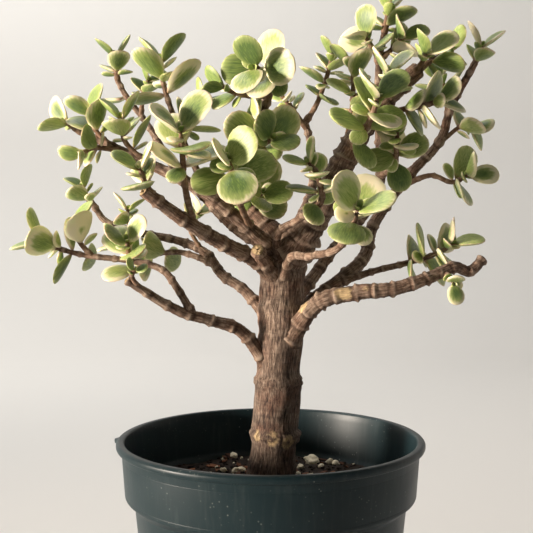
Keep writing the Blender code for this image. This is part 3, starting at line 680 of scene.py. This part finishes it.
def chip(bm, chance, index, spot):
    """Add a flake of bark, its corners worn, and return its vertices and its tone."""
    made = bmesh.ops.create_cube(bm, size=1.0)["verts"]
    edges = list({edge for vert in made for edge in vert.link_edges})
    bmesh.ops.subdivide_edges(bm, edges=edges, cuts=1, use_grid_fill=True)
    bm.verts.ensure_lookup_table()
    # A cube cut once along each edge has 26 vertices, the newest in the mesh.
    made = list(bm.verts)[-26:]
    size = Vector([chance.uniform(*span) for span in ((2.5, 7.5), (1.4, 3.2), (0.5, 1.2))]) * MM
    shade = chance.uniform(0.0, 0.55)
    for vert in made:
        corner = 1 - 0.16 * vert.co.length_squared
        rough = 1 + 0.35 * noise.noise(vert.co * 2.2 + Vector((index * 3.7, 0, 0)))
        vert.co = Vector([co * span for co, span in zip(vert.co, size)]) * corner * rough
    tilt = Matrix.Rotation(chance.uniform(-0.5, 0.5), 4, "X")
    tilt = tilt @ Matrix.Rotation(chance.uniform(-0.3, 0.3), 4, "Y")
    turn = Matrix.Rotation(chance.uniform(0, math.tau), 4, "Z")
    place = Matrix.Translation(spot + UP * size.z * 0.7) @ turn @ tilt
    bmesh.ops.transform(bm, verts=made, matrix=place)
    return made, shade


def pumice_grain(bm, chance, index, spot):
    """Add a grain of pumice and return its vertices and its tone."""
    size = chance.choice((1.4, 1.8, 2.2, 2.8, 3.6, 4.4)) * MM
    made = lumpy_stone(bm, 2, size, index + 50, spot + UP * size * 0.25, (1, 0.9, 0.8))
    return made, chance.uniform(-0.05, 0.35)


class JADE_OT_granules(bpy.types.Operator):
    """Build the two large pumice granules"""
    bl_idname = "jade.make_granules"
    bl_label = "Pumice Granules"

    def execute(self, context):
        soil = context.scene.jade_soil
        stone = pumice_stone(soil)
        for index, (name, *_, size) in enumerate(GRANULES):
            low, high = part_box(name)
            bm = bmesh.new()
            tone = bm.verts.layers.float.new("tone")
            spot = (low + high) / 2
            for vert in lumpy_stone(bm, 4, soil.granule * size, index + 3, spot, (1.05, 1, 0.85)):
                vert[tone] = 0.18
            piece_from_bmesh(f"{name}_stone", bm, stone, "pumice", [name], 60)
        return {"FINISHED"}


# Routes of the stems

def plant_point(plant, ground, point):
    """A way point in metres, on a plant of the set height and width."""
    wide = plant.width / DRAWN_WIDTH
    tall = plant.height / DRAWN_HEIGHT
    x, y, height = point
    return Vector((x * MM * wide, y * MM * wide, ground + height * MM * tall))


def smooth_route(points, step):
    """Points along a Catmull-Rom curve through the way points, about one step apart."""
    ends = [points[0] * 2 - points[1]] + points + [points[-1] * 2 - points[-2]]
    route = []
    for before, start, end, after in zip(ends, ends[1:], ends[2:], ends[3:]):
        count = max(1, round((end - start).length / step))
        for index in range(count):
            t = index / count
            bend = start * 2 + (end - before) * t
            bend += (before * 2 - start * 5 + end * 4 - after) * t ** 2
            bend += (start * 3 - before - end * 3 + after) * t ** 3
            route.append(bend / 2)
    return route + [points[-1].copy()]


def point_on(route, share):
    """The point and direction at a share of the route's length."""
    lengths = [0.0]
    for start, end in zip(route, route[1:]):
        lengths.append(lengths[-1] + (end - start).length)
    target = share * lengths[-1]
    for index, (start, end) in enumerate(zip(route, route[1:])):
        if target <= lengths[index + 1] or index == len(route) - 2:
            inside = (target - lengths[index]) / (lengths[index + 1] - lengths[index])
            return start.lerp(end, inside), (end - start).normalized()
    return route[-1], (route[-1] - route[-2]).normalized()


def stem_radius(stem, share):
    foot, tip = stem["radii"]
    return foot + (tip - foot) * share


def plan_stems(context):
    """The way points, route and radii of every stem, as the frame's solids have them."""
    plant = context.scene.jade_plant
    ground = soil_top(context.scene.jade_pot, context.scene.jade_soil)
    points = [plant_point(plant, ground, p) for p in TRUNK_ROUTE]
    radius = plant.trunk_diameter / 2
    stems = {"trunk": {"points": points, "route": smooth_route(points, STEM_STEP), "roundness": 4,
                       "radii": (radius, radius * TRUNK_TAPER)}}
    rows = [(*row, STEM_STEP, 2) for row in STEMS]
    rows += [(*row[:5], 2.2, SHOOT_STEP, 1) for row in SHOOTS]
    for name, parent, share, points, foot_size, tip_size, step, roundness in rows:
        foot = point_on(stems[parent]["route"], share)[0]
        held = stem_radius(stems[parent], share)
        radii = [size * MM * plant.stem_thickness / 2 for size in (foot_size, tip_size)]
        way = [foot] + [plant_point(plant, ground, p) for p in points]
        stems[name] = {"points": way, "route": smooth_route(way, step), "roundness": roundness,
                       "radii": (min(radii[0], held * 0.9), radii[1]), "held": held}
    return stems


def tube_tree(stem, grow):
    """A search tree of the stem's plain tube, grown by a clearance."""
    curve = bpy.data.curves.new("tube", "CURVE")
    curve.dimensions = "3D"
    curve.bevel_depth = 1.0
    curve.bevel_resolution = stem["roundness"]
    curve.use_fill_caps = True
    spline = curve.splines.new("POLY")
    last = len(stem["route"]) - 1
    spline.points.add(last)
    for index, (point, place) in enumerate(zip(spline.points, stem["route"])):
        point.co = (*place, 1)
        point.radius = stem_radius(stem, index / last) + grow
    helper = bpy.data.objects.new("tube", curve)
    bpy.context.scene.collection.objects.link(helper)
    graph = bpy.context.evaluated_depsgraph_get()
    bm = bmesh.new()
    mesh = bpy.data.meshes.new_from_object(helper.evaluated_get(graph))
    bm.from_mesh(mesh)
    bmesh.ops.remove_doubles(bm, verts=bm.verts, dist=1e-7)
    tree = BVHTree.FromBMesh(bm)
    bm.free()
    bpy.data.objects.remove(helper, do_unlink=True)
    bpy.data.meshes.remove(mesh)
    return tree


# Bark

def corky_bark(plant, name, young, ground):
    """Jade bark: thin grey-brown cork with fine upright cracks, pale leaf scars, and bare wood at tears."""
    material, add, shader = new_material(name, 0.80, 0.35)
    place = add("TexCoord").outputs["Object"]
    grain = add("Attribute", attribute_name="grain").outputs["Vector"]
    cut = add("Attribute", attribute_name="cut").outputs["Fac"]
    scar = add("Attribute", attribute_name="scar").outputs["Fac"]
    # Cracks are about 0.8 mm apart round the stem and 5 mm long.
    upright = add("Mapping", {"Vector": grain, "Scale": (1.0, 1.0, 0.15)})
    cracks = add("TexNoise", {"Vector": upright, "Scale": 1250.0, "Detail": 7.0,
                              "Roughness": 0.72, "Distortion": 0.5})
    # Fine growth rings lie about 2 mm apart.
    banded = add("Mapping", {"Vector": grain, "Scale": (0.12, 0.12, 1.0)})
    rings = add("TexNoise", {"Vector": banded, "Scale": 650.0, "Detail": 3.0})
    # Grey patches are about 7 mm across, and fresh red-brown ones about 12 mm.
    patches = add("TexNoise", {"Vector": grain, "Scale": 150.0, "Detail": 6.0, "Roughness": 0.7})
    rust = add("TexNoise", {"Vector": grain, "Scale": 85.0, "Detail": 5.0, "Roughness": 0.65})
    # The bark darkens towards the foot of the trunk, to 38 % of its value at the soil, starting 0.1 m above
    # it.
    height = add("SeparateXYZ", {0: place}).outputs["Z"]
    darker_near_soil = add("MapRange", {0: height, 1: ground, 2: ground + 0.1, 3: 0.38, 4: 1.0})
    dim = add("MapRange", {0: patches, 1: 0.28, 2: 0.72, 3: 0.55, 4: 1.35})
    value = add("Math", {0: dim, 1: darker_near_soil}, operation="MULTIPLY")
    cork = add("ValToRGB", {0: cracks},
               stops=[(0.38, plant.bark_dark), (0.50, plant.bark), (0.66, plant.bark_pale)])
    shaded = add("HueSaturation", {"Value": value, "Color": cork})
    rusty = add("MapRange", {0: rust, 1: 0.44, 2: 0.66, 4: 0.55})
    warmed = add("Mix", {0: rusty, 6: shaded, 7: (*plant.bark_red, 1.0)},
                 data_type="RGBA", blend_type="SOFT_LIGHT")
    ringed = add("MapRange", {0: rings, 1: 0.33, 2: 0.50, 3: 0.35 + young, 4: 0.0})
    ridge = add("MapRange", {0: scar, 1: 0.15, 2: 0.9, 4: 0.55})
    groove = add("MapRange", {0: scar, 1: -0.1, 2: -0.8, 4: 0.75})
    # Where the bark is peeled or cut the callus shows, and where it is torn the red-brown wood.
    ragged = add("Math", {0: patches, 1: 1.5, 2: cut}, operation="MULTIPLY_ADD")
    bare = add("MapRange", {0: ragged, 1: 1.02, 2: 1.25, 4: 0.85})
    torn = add("MapRange", {0: cut, 1: 1.2, 2: 1.8})
    wood = lay_colours(add, (*plant.callus, 1.0), [(torn, plant.heartwood)])
    streaked = add("MapRange", {0: cracks, 1: 0.35, 2: 0.65, 3: 0.45, 4: 1.15})
    fibrous = add("HueSaturation", {"Value": streaked, "Color": wood})
    colour = lay_colours(add, warmed, [(ringed, plant.bark_dark), (ridge, plant.bark_pale),
                                       (groove, plant.bark_dark), (young, plant.twig), (bare, fibrous)])
    dress(add, shader, colour, cracks, 0.85 - young * 0.5, 0.0008)
    return material


def ring_frames(route):
    """A point and two crosswise axes for each point of the route, without twist."""
    along = (route[1] - route[0]).normalized()
    side = along.cross(ACROSS).normalized()
    frames = []
    for index, spot in enumerate(route):
        before = route[max(index - 1, 0)]
        after = route[min(index + 1, len(route) - 1)]
        ahead = (after - before).normalized()
        side = (along.rotation_difference(ahead) @ side).normalized()
        along = ahead
        frames.append((spot, side, along.cross(side)))
    return frames


def grow_stem(points, step, sides, radius_of, seed, relief, node_gap, ends=(0.0, 0.0)):
    """Wrap a grid round the route as bark, with cracks, swellings and node rings, and close its ends."""
    route = smooth_route(points, step)
    rings = len(route) - 1
    frames = ring_frames(route)
    bm = bmesh.new()
    grain = bm.verts.layers.float_vector.new("grain")
    cut = bm.verts.layers.float.new("cut")
    scar = bm.verts.layers.float.new("scar")
    bmesh.ops.create_grid(bm, x_segments=sides, y_segments=rings, size=0.5)
    reach = [0.0]
    for start, end in zip(route, route[1:]):
        reach.append(reach[-1] + (end - start).length)
    shift = Vector((seed * 0.37, seed * 0.11, seed * 0.23))
    for vert in bm.verts:
        angle = math.tau * (vert.co.x + 0.5)
        ring = round((vert.co.y + 0.5) * rings)
        spot, side, lift = frames[ring]
        radius = radius_of(ring / rings, reach[ring])
        out = side * math.cos(angle) + lift * math.sin(angle)
        skin = Vector((math.cos(angle) * radius, math.sin(angle) * radius, reach[ring])) + shift
        depth = bark_depth(skin, radius, relief)
        if node_gap:
            ridge, groove = node_ring(skin, reach[ring], node_gap, angle)
            depth += radius * (0.20 * ridge - 0.05 * groove) + 0.0001 * ridge
            vert[scar] = ridge - groove
        vert.co = spot + out * (radius + depth)
        vert[grain] = skin
        vert[cut] = 0.0
    bmesh.ops.remove_doubles(bm, verts=bm.verts, dist=2e-6)
    for edges in end_loops(bm):
        middle = sum((edge.verts[0].co for edge in edges), Vector()) / len(edges)
        torn = ends[1] if (middle - route[-1]).length < (middle - route[0]).length else ends[0]
        cap = bmesh.ops.edgeloop_fill(bm, edges=edges)["faces"]
        close_end(bm, cap, torn, cut, grain)
    return bm


def end_loops(bm):
    """The two open ends of a tube, each as a list of edges."""
    left = {edge for edge in bm.edges if edge.is_boundary}
    loops = []
    while left:
        loop = []
        front = [left.pop()]
        while front:
            edge = front.pop()
            loop.append(edge)
            near = {e for vert in edge.verts for e in vert.link_edges} & left
            left -= near
            front.extend(near)
        loops.append(loop)
    return loops


def close_end(bm, cap, torn, cut, grain):
    """Dome a growing end, or roughen a pruned one and mark its wood as bare."""
    face = cap[0]
    width = max(vert.co.x for vert in face.verts) - min(vert.co.x for vert in face.verts)
    width = max(width, max(vert.co.z for vert in face.verts) - min(vert.co.z for vert in face.verts))
    out = face.normal.copy()
    for share in (0.16, 0.14, 0.12):
        bmesh.ops.inset_region(bm, faces=[face], thickness=width * share, depth=0)
        rise = width * (0.05 if torn else 0.16)
        for vert in face.verts:
            rough = 0.5 * noise.noise(vert.co / 0.0011) if torn else 0.0
            vert.co += out * rise * (1 + rough * 3)
            vert[cut] = torn
            vert[grain] = vert.co.copy()


def bark_depth(skin, radius, relief):
    """How far the bark stands out here: upright cracks and broad lumps."""
    crack = noise.noise(Vector((skin.x, skin.y, skin.z * 0.10)) / 0.0011)
    lump = noise.noise(skin / (radius * 1.6 + 0.002))
    return relief * (0.30 * MM * crack + radius * 0.12 * lump)


def node_ring(skin, reach, node_gap, angle):
    """The raised ring of an old leaf node and the groove below it, strongest at its two leaf scars."""
    wander = 0.0010 * noise.noise(skin / 0.004)
    wander += node_gap * 0.45 * noise.noise(Vector((7, 3, skin.z / 0.021)))
    number = math.floor((reach + wander) / node_gap)
    offset = (reach + wander) % node_gap - node_gap / 2
    facing = 0.5 + 0.5 * math.cos(2 * (angle - number * math.pi / 2))
    width = node_gap * 0.085 + 0.0002
    ridge = (0.45 + 0.85 * facing ** 2) * math.exp(-(offset / width) ** 2)
    groove = math.exp(-((offset + width * 1.9) / (width * 0.8)) ** 2)
    return ridge, groove


def paint_peeling(bm, plant, ground):
    """Mark the scarred places on the bark as bare wood."""
    cut = bm.verts.layers.float["cut"]
    for place, reach, pale in PEELED_BARK:
        centre = plant_point(plant, ground, place)
        for vert in bm.verts:
            near = 1 - (vert.co - centre).length / (reach * MM)
            if near > 0:
                vert[cut] = max(vert[cut], min(1.0, near * 2.2) * pale)


def trunk_radius(plant, share, reach):
    """The trunk flares at its foot and swells at an old node, at a callus band and under the crown."""
    base = plant.trunk_diameter / 2
    radius = base + (base * TRUNK_TAPER - base) * share
    for height, spread, size in TRUNK_SWELLINGS:
        radius += size * math.exp(-((reach - TRUNK_BELOW_SOIL - height) / spread) ** 2)
    crown = max(0.0, (share - 0.95) / 0.05)
    return radius * math.sqrt(max(0.05, 1 - 0.9 * crown ** 2))


def root_radius(share, reach):
    thick, thin = ROOT_RADII
    return thick + (thin - thick) * share


class JADE_OT_trunk(bpy.types.Operator):
    """Build the trunk with its main roots"""
    bl_idname = "jade.make_trunk"
    bl_label = "Trunk"

    def execute(self, context):
        plant = context.scene.jade_plant
        ground = soil_top(context.scene.jade_pot, context.scene.jade_soil)
        stem = plan_stems(context)["trunk"]
        bark = corky_bark(plant, "corky_trunk_bark", 0.0, ground)
        bm = grow_stem(stem["points"], 0.00085, 120, partial(trunk_radius, plant), 1, 1.0, 0, CUT_TIP)
        self.roughen_callus(bm, ground)
        paint_peeling(bm, plant, ground)
        piece_from_bmesh("trunk_bark", bm, bark, "jade_bark", ["trunk"], 80)
        for index, angle in enumerate(ROOT_ANGLES):
            turn = math.radians(angle)
            out = Vector((math.cos(turn), math.sin(turn), 0))
            foot = Vector((0, 0, ground - ROOT_DEPTH))
            bend = foot + out * ROOT_REACH / 2 - UP * ROOT_DROP / 3
            points = [foot, bend, foot + out * ROOT_REACH - UP * ROOT_DROP]
            root = grow_stem(points, 0.0015, 20, root_radius, index + 20, 0.8, 0, CUT_TIP)
            piece_from_bmesh(f"main_root_{index + 1}", root, bark, "jade_bark", sharp=80)
        return {"FINISHED"}

    def roughen_callus(self, bm, ground):
        """Lift a ragged ring of cork round the trunk, at its old callus band."""
        for vert in bm.verts:
            above = vert.co.z - ground
            wave = above - CALLUS_HEIGHT - 0.0018 * noise.noise(Vector((vert.co.x, vert.co.y, 0)) / 0.006)
            band = math.exp(-(wave / 0.0016) ** 2)
            if band > 0.02:
                flake = 0.5 + 0.9 * noise.noise(vert.co / 0.0014)
                vert.co.xy *= 1 + 0.055 * band * flake


def branch_radius(stem):
    """A branch swells where it leaves its parent and tapers to its tip."""
    foot, tip = stem["radii"]
    held = stem["held"]

    def radius(share, reach):
        base = foot + (tip - foot) * share
        collar = 0.34 * math.exp(-((reach - held * 0.9) / (foot * 1.3)) ** 2)
        return base * (1 + collar)

    return radius


class JADE_OT_branches(bpy.types.Operator):
    """Build the woody branches, each from its parent stem"""
    bl_idname = "jade.make_branches"
    bl_label = "Woody Branches"

    def execute(self, context):
        plant = context.scene.jade_plant
        ground = soil_top(context.scene.jade_pot, context.scene.jade_soil)
        stems = plan_stems(context)
        bark = corky_bark(plant, "corky_branch_bark", 0.12, ground)
        for index, row in enumerate(STEMS):
            stem = stems[row[0]]
            thick = stem["radii"][0]
            sides = 56 if thick > 0.005 else 40
            # Old leaf nodes lie 8.5 to 12 mm apart.
            gap = 0.0085 + 0.0012 * (index % 4)
            ends = (0.0, TORN_ENDS.get(row[0], 0.0))
            bm = grow_stem(stem["points"], 0.0008, sides, branch_radius(stem), index + 2, 0.85, gap, ends)
            paint_peeling(bm, plant, ground)
            piece_from_bmesh(f"{row[0]}_bark", bm, bark, "jade_bark", [row[0]], 80)
        return {"FINISHED"}


# Leafy shoots

def variegated_leaf(leaf):
    """A fleshy leaf: waxy satin skin, mottled green inside a feathered cream margin, pink at the rim."""
    material, add, shader = new_material("variegated_leaf_skin", 0.44, 0.38)
    shader.inputs["Subsurface Weight"].default_value = 0.22
    shader.inputs["Subsurface Radius"].default_value = (0.0016, 0.0022, 0.0006)
    shader.inputs["Subsurface Scale"].default_value = 1.0
    place = add("TexCoord").outputs["Object"]
    chart = add("UVMap", uv_map="leaf_chart")
    tone = add("Attribute", attribute_name="leaf_tone").outputs["Color"]
    creamy, deep, rosy = add("SeparateColor", {0: tone}).outputs
    centred = add("VectorMath", {0: chart, 1: (0.5, 0.5, 0.0)}, operation="SUBTRACT")
    edge = add("VectorMath", {0: centred}, operation="LENGTH")
    # Streaks run from the foot of the leaf to its tip, about 1 mm wide, and differ from leaf to leaf.
    lengthwise = add("Mapping", {"Vector": chart, "Scale": (2.2, 9.0, 1.0)})
    own = add("VectorMath", {0: place, 1: (60.0, 60.0, 60.0)}, operation="MULTIPLY")
    mapped = add("VectorMath", {0: lengthwise, 1: own}, operation="ADD")
    feather = add("TexNoise", {"Vector": mapped, "Scale": 1.5, "Detail": 3.0, "Roughness": 0.55})
    spread = add("Math", {0: feather, 1: 0.24, 2: edge}, operation="MULTIPLY_ADD")
    pale = add("Math", {0: creamy, 1: 0.22, 2: spread}, operation="MULTIPLY_ADD")
    paling = add("MapRange", {0: pale, 1: 0.42, 2: 0.70, 4: 0.85})
    margin = add("MapRange", {0: pale, 1: 0.60, 2: 0.71})
    mottle = add("TexNoise", {"Vector": mapped, "Scale": 3.2, "Detail": 4.0})
    depth = add("Math", {0: mottle, 1: deep}, operation="ADD")
    green = add("ValToRGB", {0: depth},
                stops=[(0.30, leaf.lime), (0.58, leaf.green), (0.90, leaf.deep_green)])
    rim = add("MapRange", {0: edge, 1: 0.47, 2: 0.50})
    blush = add("Math", {0: rim, 1: rosy}, operation="MULTIPLY")
    along = add("SeparateXYZ", {0: chart})
    foot = add("MapRange", {0: along, 1: 0.16, 2: 0.02, 4: 0.75})
    # The skin has fine pores, about 0.3 mm apart.
    pores = add("TexNoise", {"Vector": place, "Scale": 2600.0, "Detail": 2.0})
    colour = lay_colours(add, green, [(paling, leaf.lime), (margin, leaf.cream), (blush, leaf.pink),
                                      (foot, leaf.stalk)])
    dress(add, shader, colour, pores, 0.10, 0.0002)
    return material


def test_leaf(leaf, size, narrow, matrix, grow):
    """A coarse leaf for finding free places, from its foot along the X axis."""
    bm = bmesh.new()
    bmesh.ops.create_icosphere(bm, subdivisions=1, radius=0.5)
    bmesh.ops.rotate(bm, verts=bm.verts, matrix=Matrix.Rotation(math.pi / 2, 3, "Y"))
    for vert in bm.verts:
        vert.co.x += 0.5
        vert.co.y *= (0.86 + 0.4 * vert.co.x) * (leaf.width * size * narrow + grow) * 1.12
        vert.co.z *= leaf.thickness * (0.5 + size / 2) + grow
        vert.co.x *= leaf.length * size + grow
    bm.transform(matrix)
    tree = BVHTree.FromBMesh(bm)
    bm.free()
    return tree


def leaf_places(leaf, stem, pairs, size, turn, chance, drop):
    """Opposite leaves in pairs, each pair a quarter turn from the last, wider spread down the stem."""
    length = sum((b - a).length for a, b in zip(stem["route"], stem["route"][1:]))
    for pair in range(pairs):
        share = 1 - (drop + pair * leaf.spacing * (0.7 + size * 0.3)) / length
        spot, along = point_on(stem["route"], share)
        side = along.cross(ACROSS).normalized()
        side = Matrix.Rotation(math.radians(turn + 90 * pair), 3, along) @ side
        rise = math.radians(PAIR_PITCHES[pair])
        for way in (side, -side):
            yield spot, along, way, rise, size * chance.uniform(0.88, 1.1) * (0.86 if pair == 0 else 1.0)


def leaf_matrix(spot, along, way, rise, twist, reach):
    """Leaf axes: X out from the stem, Z its upper face."""
    out = (way * math.cos(rise) + along * math.sin(rise)).normalized()
    face = (along * math.cos(rise) - way * math.sin(rise)).normalized()
    face = Matrix.Rotation(twist, 3, out) @ face
    across = face.cross(out)
    axes = Matrix((out, across, face)).transposed().to_4x4()
    return Matrix.Translation(spot + way * reach) @ axes


def place_leaves(leaf, stem, row, others, chance, drop):
    """Leaves that touch nothing but their own stem: each tries other pitches, then a smaller size."""
    pairs, size, narrow, turn = row
    placed = []
    for spot, along, way, rise, own_size in leaf_places(leaf, stem, pairs, size, turn, chance, drop):
        twist = math.radians(chance.uniform(-14, 14))
        reach = stem["radii"][1] * 0.45
        for shrink, tilt in product(LEAF_SHRINKS, LEAF_TILTS):
            matrix = leaf_matrix(spot, along, way, rise + math.radians(tilt), twist, reach)
            tree = test_leaf(leaf, own_size * shrink, narrow, matrix, GAP * 3)
            if not any(tree.overlap(other) for other in others + [p["tree"] for p in placed]):
                placed.append({"matrix": matrix, "size": own_size * shrink, "narrow": narrow, "tree": tree})
                break
    return placed


def shape_leaf(bm, leaf, place, chance, layers, blush):
    """Add one plump leaf: widest beyond its middle, cupped, with its tip turned slightly down."""
    chart, tone = layers
    made = bmesh.ops.create_uvsphere(bm, u_segments=10, v_segments=9, radius=1.0)["verts"]
    size = place["size"]
    length = leaf.length * size * 1.04
    half_width = leaf.width * size * place["narrow"] / 2 * 1.06
    half_depth = leaf.thickness * min(0.5 + size / 2, size * 1.3) / 2
    cup = chance.uniform(0.05, 0.16)
    droop = chance.uniform(-0.02, 0.12)
    cream = chance.random() ** 1.6 + (chance.random() < 0.07) * 1.2
    marks = (cream, chance.uniform(-0.10, 0.40), blush * chance.uniform(0.3, 1.0), 1.0)
    turn = Matrix.Rotation(math.pi / 2, 4, "Y")
    faces = {face for vert in made for face in vert.link_faces}
    bmesh.ops.transform(bm, verts=made, matrix=turn)
    for face in faces:
        for loop in face.loops:
            loop[chart].uv = (loop.vert.co.x / 2 + 0.5, loop.vert.co.y / 2 + 0.5)
    for vert in made:
        across, depth = vert.co.y, vert.co.z
        share = (vert.co.x + 1) / 2
        wide = (0.76 + 0.50 * share) * min(1.0, 0.48 + share * 1.9)
        lift = cup * across ** 2 * half_width * 2 - droop * share ** 2 * length
        vert.co = Vector((share * length, across * half_width * wide, depth * half_depth + lift))
        vert[tone] = marks
    bmesh.ops.transform(bm, verts=made, matrix=place["matrix"])


def twig_radius(stem):
    """A young twig swells a little at its foot and narrows to its bud."""
    foot, tip = stem["radii"]

    def radius(share, reach):
        base = foot + (tip - foot) * share
        collar = 0.30 * math.exp(-((reach - stem["held"]) / (foot * 1.4)) ** 2)
        return base * (1 + collar) * (1 - 0.45 * max(0.0, (share - 0.92) / 0.08))

    return radius


class JADE_OT_shoots(bpy.types.Operator):
    """Build the leafy shoots: each young twig and its pairs of leaves"""
    bl_idname = "jade.make_shoots"
    bl_label = "Leafy Shoots"

    def execute(self, context):
        plant = context.scene.jade_plant
        leaf = context.scene.jade_leaf
        stems = plan_stems(context)
        trees = {name: tube_tree(stem, GAP) for name, stem in stems.items()}
        ground = soil_top(context.scene.jade_pot, context.scene.jade_soil)
        twig_bark = corky_bark(plant, "green_twig_bark", 0.45, ground)
        branch_bark = corky_bark(plant, "corky_arm_bark", 0.2, ground)
        skin = variegated_leaf(leaf)
        looks = random.Random(19)
        crown = {row[0]: [] for row in SHOOTS}
        # The full leaves come first, then smaller young ones between them wherever there is room.
        flushes = ((random.Random(7), len(PAIR_PITCHES), 1.0, 0, TIP_DROP),
                   (looks, YOUNG_PAIRS, YOUNG_SIZE, YOUNG_TURN, YOUNG_DROP))
        for chance, most, scale, turned, drop in flushes:
            for name, *_, pairs, size, narrow, turn in SHOOTS:
                others = [tree for other, tree in trees.items() if other != name]
                others += [place["tree"] for places in crown.values() for place in places]
                row = (min(pairs, most), size * scale, narrow, turn + turned)
                crown[name] += place_leaves(leaf, stems[name], row, others, chance, drop)
        for index, (name, _, _, _, foot, *row) in enumerate(SHOOTS):
            stem = stems[name]
            sides = 24 if foot > 3.0 else 16
            gap = leaf.spacing * (0.7 + row[1] * 0.3)
            twig = grow_stem(stem["points"], 0.0010, sides, twig_radius(stem), index + 40, 0.6, gap)
            bark = branch_bark if foot > 3.5 else twig_bark
            piece_from_bmesh(f"{name}_twig", twig, bark, "jade_bark", [name], 80)
            bm = bmesh.new()
            chart = bm.loops.layers.uv.new("leaf_chart")
            layers = (chart, bm.verts.layers.float_color.new("leaf_tone"))
            blush = looks.choice((0.2, 0.4, 0.6, 0.9))
            for place in crown[name] + self.bud(stem, row):
                shape_leaf(bm, leaf, place, looks, layers, blush)
            piece_from_bmesh(f"{name}_leaves", bm, skin, "variegated_leaf", sharp=80)
        return {"FINISHED"}

    def bud(self, stem, row):
        """The tiny unopened pair at the tip of the shoot."""
        spot, along = point_on(stem["route"], 1.0)
        side = along.cross(ACROSS).normalized()
        side = Matrix.Rotation(math.radians(row[3] + 90), 3, along) @ side
        pitch = math.radians(66)
        return [{"matrix": leaf_matrix(spot, along, way, pitch, 0.0, 0.0002), "size": 0.20 * row[1],
                 "narrow": 0.8} for way in (side, -side)]


# Stage

def background_paper(stage):
    """Matt background paper, pale and warm."""
    material, _, shader = new_material("background_paper", 0.95, 0.1)
    shader.inputs["Base Color"].default_value = (*stage.paper, 1.0)
    return material


class JADE_OT_stage(bpy.types.Operator):
    """Set up the paper sweep, the lights and the camera"""
    bl_idname = "jade.make_stage"
    bl_label = "Studio Stage"

    def execute(self, context):
        stage = context.scene.jade_stage
        self.lay_sweep(stage)
        self.hang_lights(context, stage)
        camera = bpy.data.objects.new("camera", bpy.data.cameras.new("camera"))
        context.scene.collection.objects.link(camera)
        camera.data.sensor_width = 36.0
        camera.data.lens = 52.0
        camera.location = (-0.002, -0.380, 0.2234)
        camera.rotation_euler = (math.pi / 2, 0, 0)
        context.scene.camera = camera
        return {"FINISHED"}

    def lay_sweep(self, stage):
        floor_radius = 1.5
        bend = 0.6
        wall_top = 2.4
        arc = [math.radians(a) for a in range(0, 91, 9)]
        profile = [(0.0, 0.0), (floor_radius, 0.0)]
        profile += [(floor_radius + bend * math.sin(a), bend * (1 - math.cos(a))) for a in arc]
        wall, thick = floor_radius + bend, 0.05
        profile += [(wall, wall_top), (wall + thick, wall_top), (wall + thick, -thick), (0.0, -thick)]
        object_from_bmesh("paper_sweep", turned_solid(profile, 96), background_paper(stage), 30)

    def hang_lights(self, context, stage):
        rows = [
            ("key_light", (-1.76, -0.66, 0.33), 0.38, 42, stage.key_power, "#FFF1E2", (0.0, 0.0, 0.22)),
            ("fill_light", (0.9, -1.1, 0.6), 1.0, 180, stage.fill_power, "#DCE6F2", (0.0, 0.0, 0.24)),
            ("wall_light", (-0.70, 0.7, 1.9), 1.2, 180, stage.wall_power, "#FFFDF9", (-0.20, 2.1, 0.25)),
        ]
        for name, spot, size, spread, power, colour, target in rows:
            light = bpy.data.lights.new(name, "AREA")
            light.shape = "DISK"
            light.size = size
            light.spread = math.radians(spread)
            light.energy = power
            light.color = hex_colour(colour)
            lamp = bpy.data.objects.new(name, light)
            context.scene.collection.objects.link(lamp)
            lamp.location = spot
            lamp.rotation_euler = (Vector(target) - Vector(spot)).to_track_quat("-Z", "Y").to_euler()
        world = bpy.data.worlds.new("studio_air")
        world.use_nodes = True
        air = world.node_tree.nodes["Background"]
        air.inputs["Color"].default_value = (*hex_colour("#E9ECF2"), 1.0)
        air.inputs["Strength"].default_value = stage.sky
        context.scene.world = world
        context.scene.view_settings.view_transform = "Standard"


class JADE_PT_panel(bpy.types.Panel):
    """Lists the pieces and their settings"""
    bl_label = "Potted Dwarf Jade"
    bl_idname = "JADE_PT_panel"
    bl_space_type = "VIEW_3D"
    bl_region_type = "UI"
    bl_category = "Jade"

    def draw(self, context):
        for operator in MAKERS:
            self.layout.operator(operator.bl_idname)
        for group, name in SETTINGS.items():
            box = self.layout.box()
            for key in group.__annotations__:
                box.prop(getattr(context.scene, name), key)


MAKERS = (JADE_OT_stage, JADE_OT_pot, JADE_OT_soil, JADE_OT_granules, JADE_OT_trunk, JADE_OT_branches,
          JADE_OT_shoots)
SETTINGS = {
    JadePotSettings: "jade_pot",
    JadeSoilSettings: "jade_soil",
    JadePlantSettings: "jade_plant",
    JadeLeafSettings: "jade_leaf",
    JadeStageSettings: "jade_stage",
}


def register():
    for group, name in SETTINGS.items():
        bpy.utils.register_class(group)
        setattr(bpy.types.Scene, name, PointerProperty(type=group))
    for operator in MAKERS:
        bpy.utils.register_class(operator)
    bpy.utils.register_class(JADE_PT_panel)


def unregister():
    bpy.utils.unregister_class(JADE_PT_panel)
    for operator in reversed(MAKERS):
        bpy.utils.unregister_class(operator)
    for group, name in SETTINGS.items():
        delattr(bpy.types.Scene, name)
        bpy.utils.unregister_class(group)


def main():
    register()
    bpy.ops.jade.make_stage()
    bpy.ops.jade.make_pot()
    bpy.ops.jade.make_soil()
    bpy.ops.jade.make_granules()
    bpy.ops.jade.make_trunk()
    bpy.ops.jade.make_branches()
    bpy.ops.jade.make_shoots()


if __name__ == "__main__":
    main()
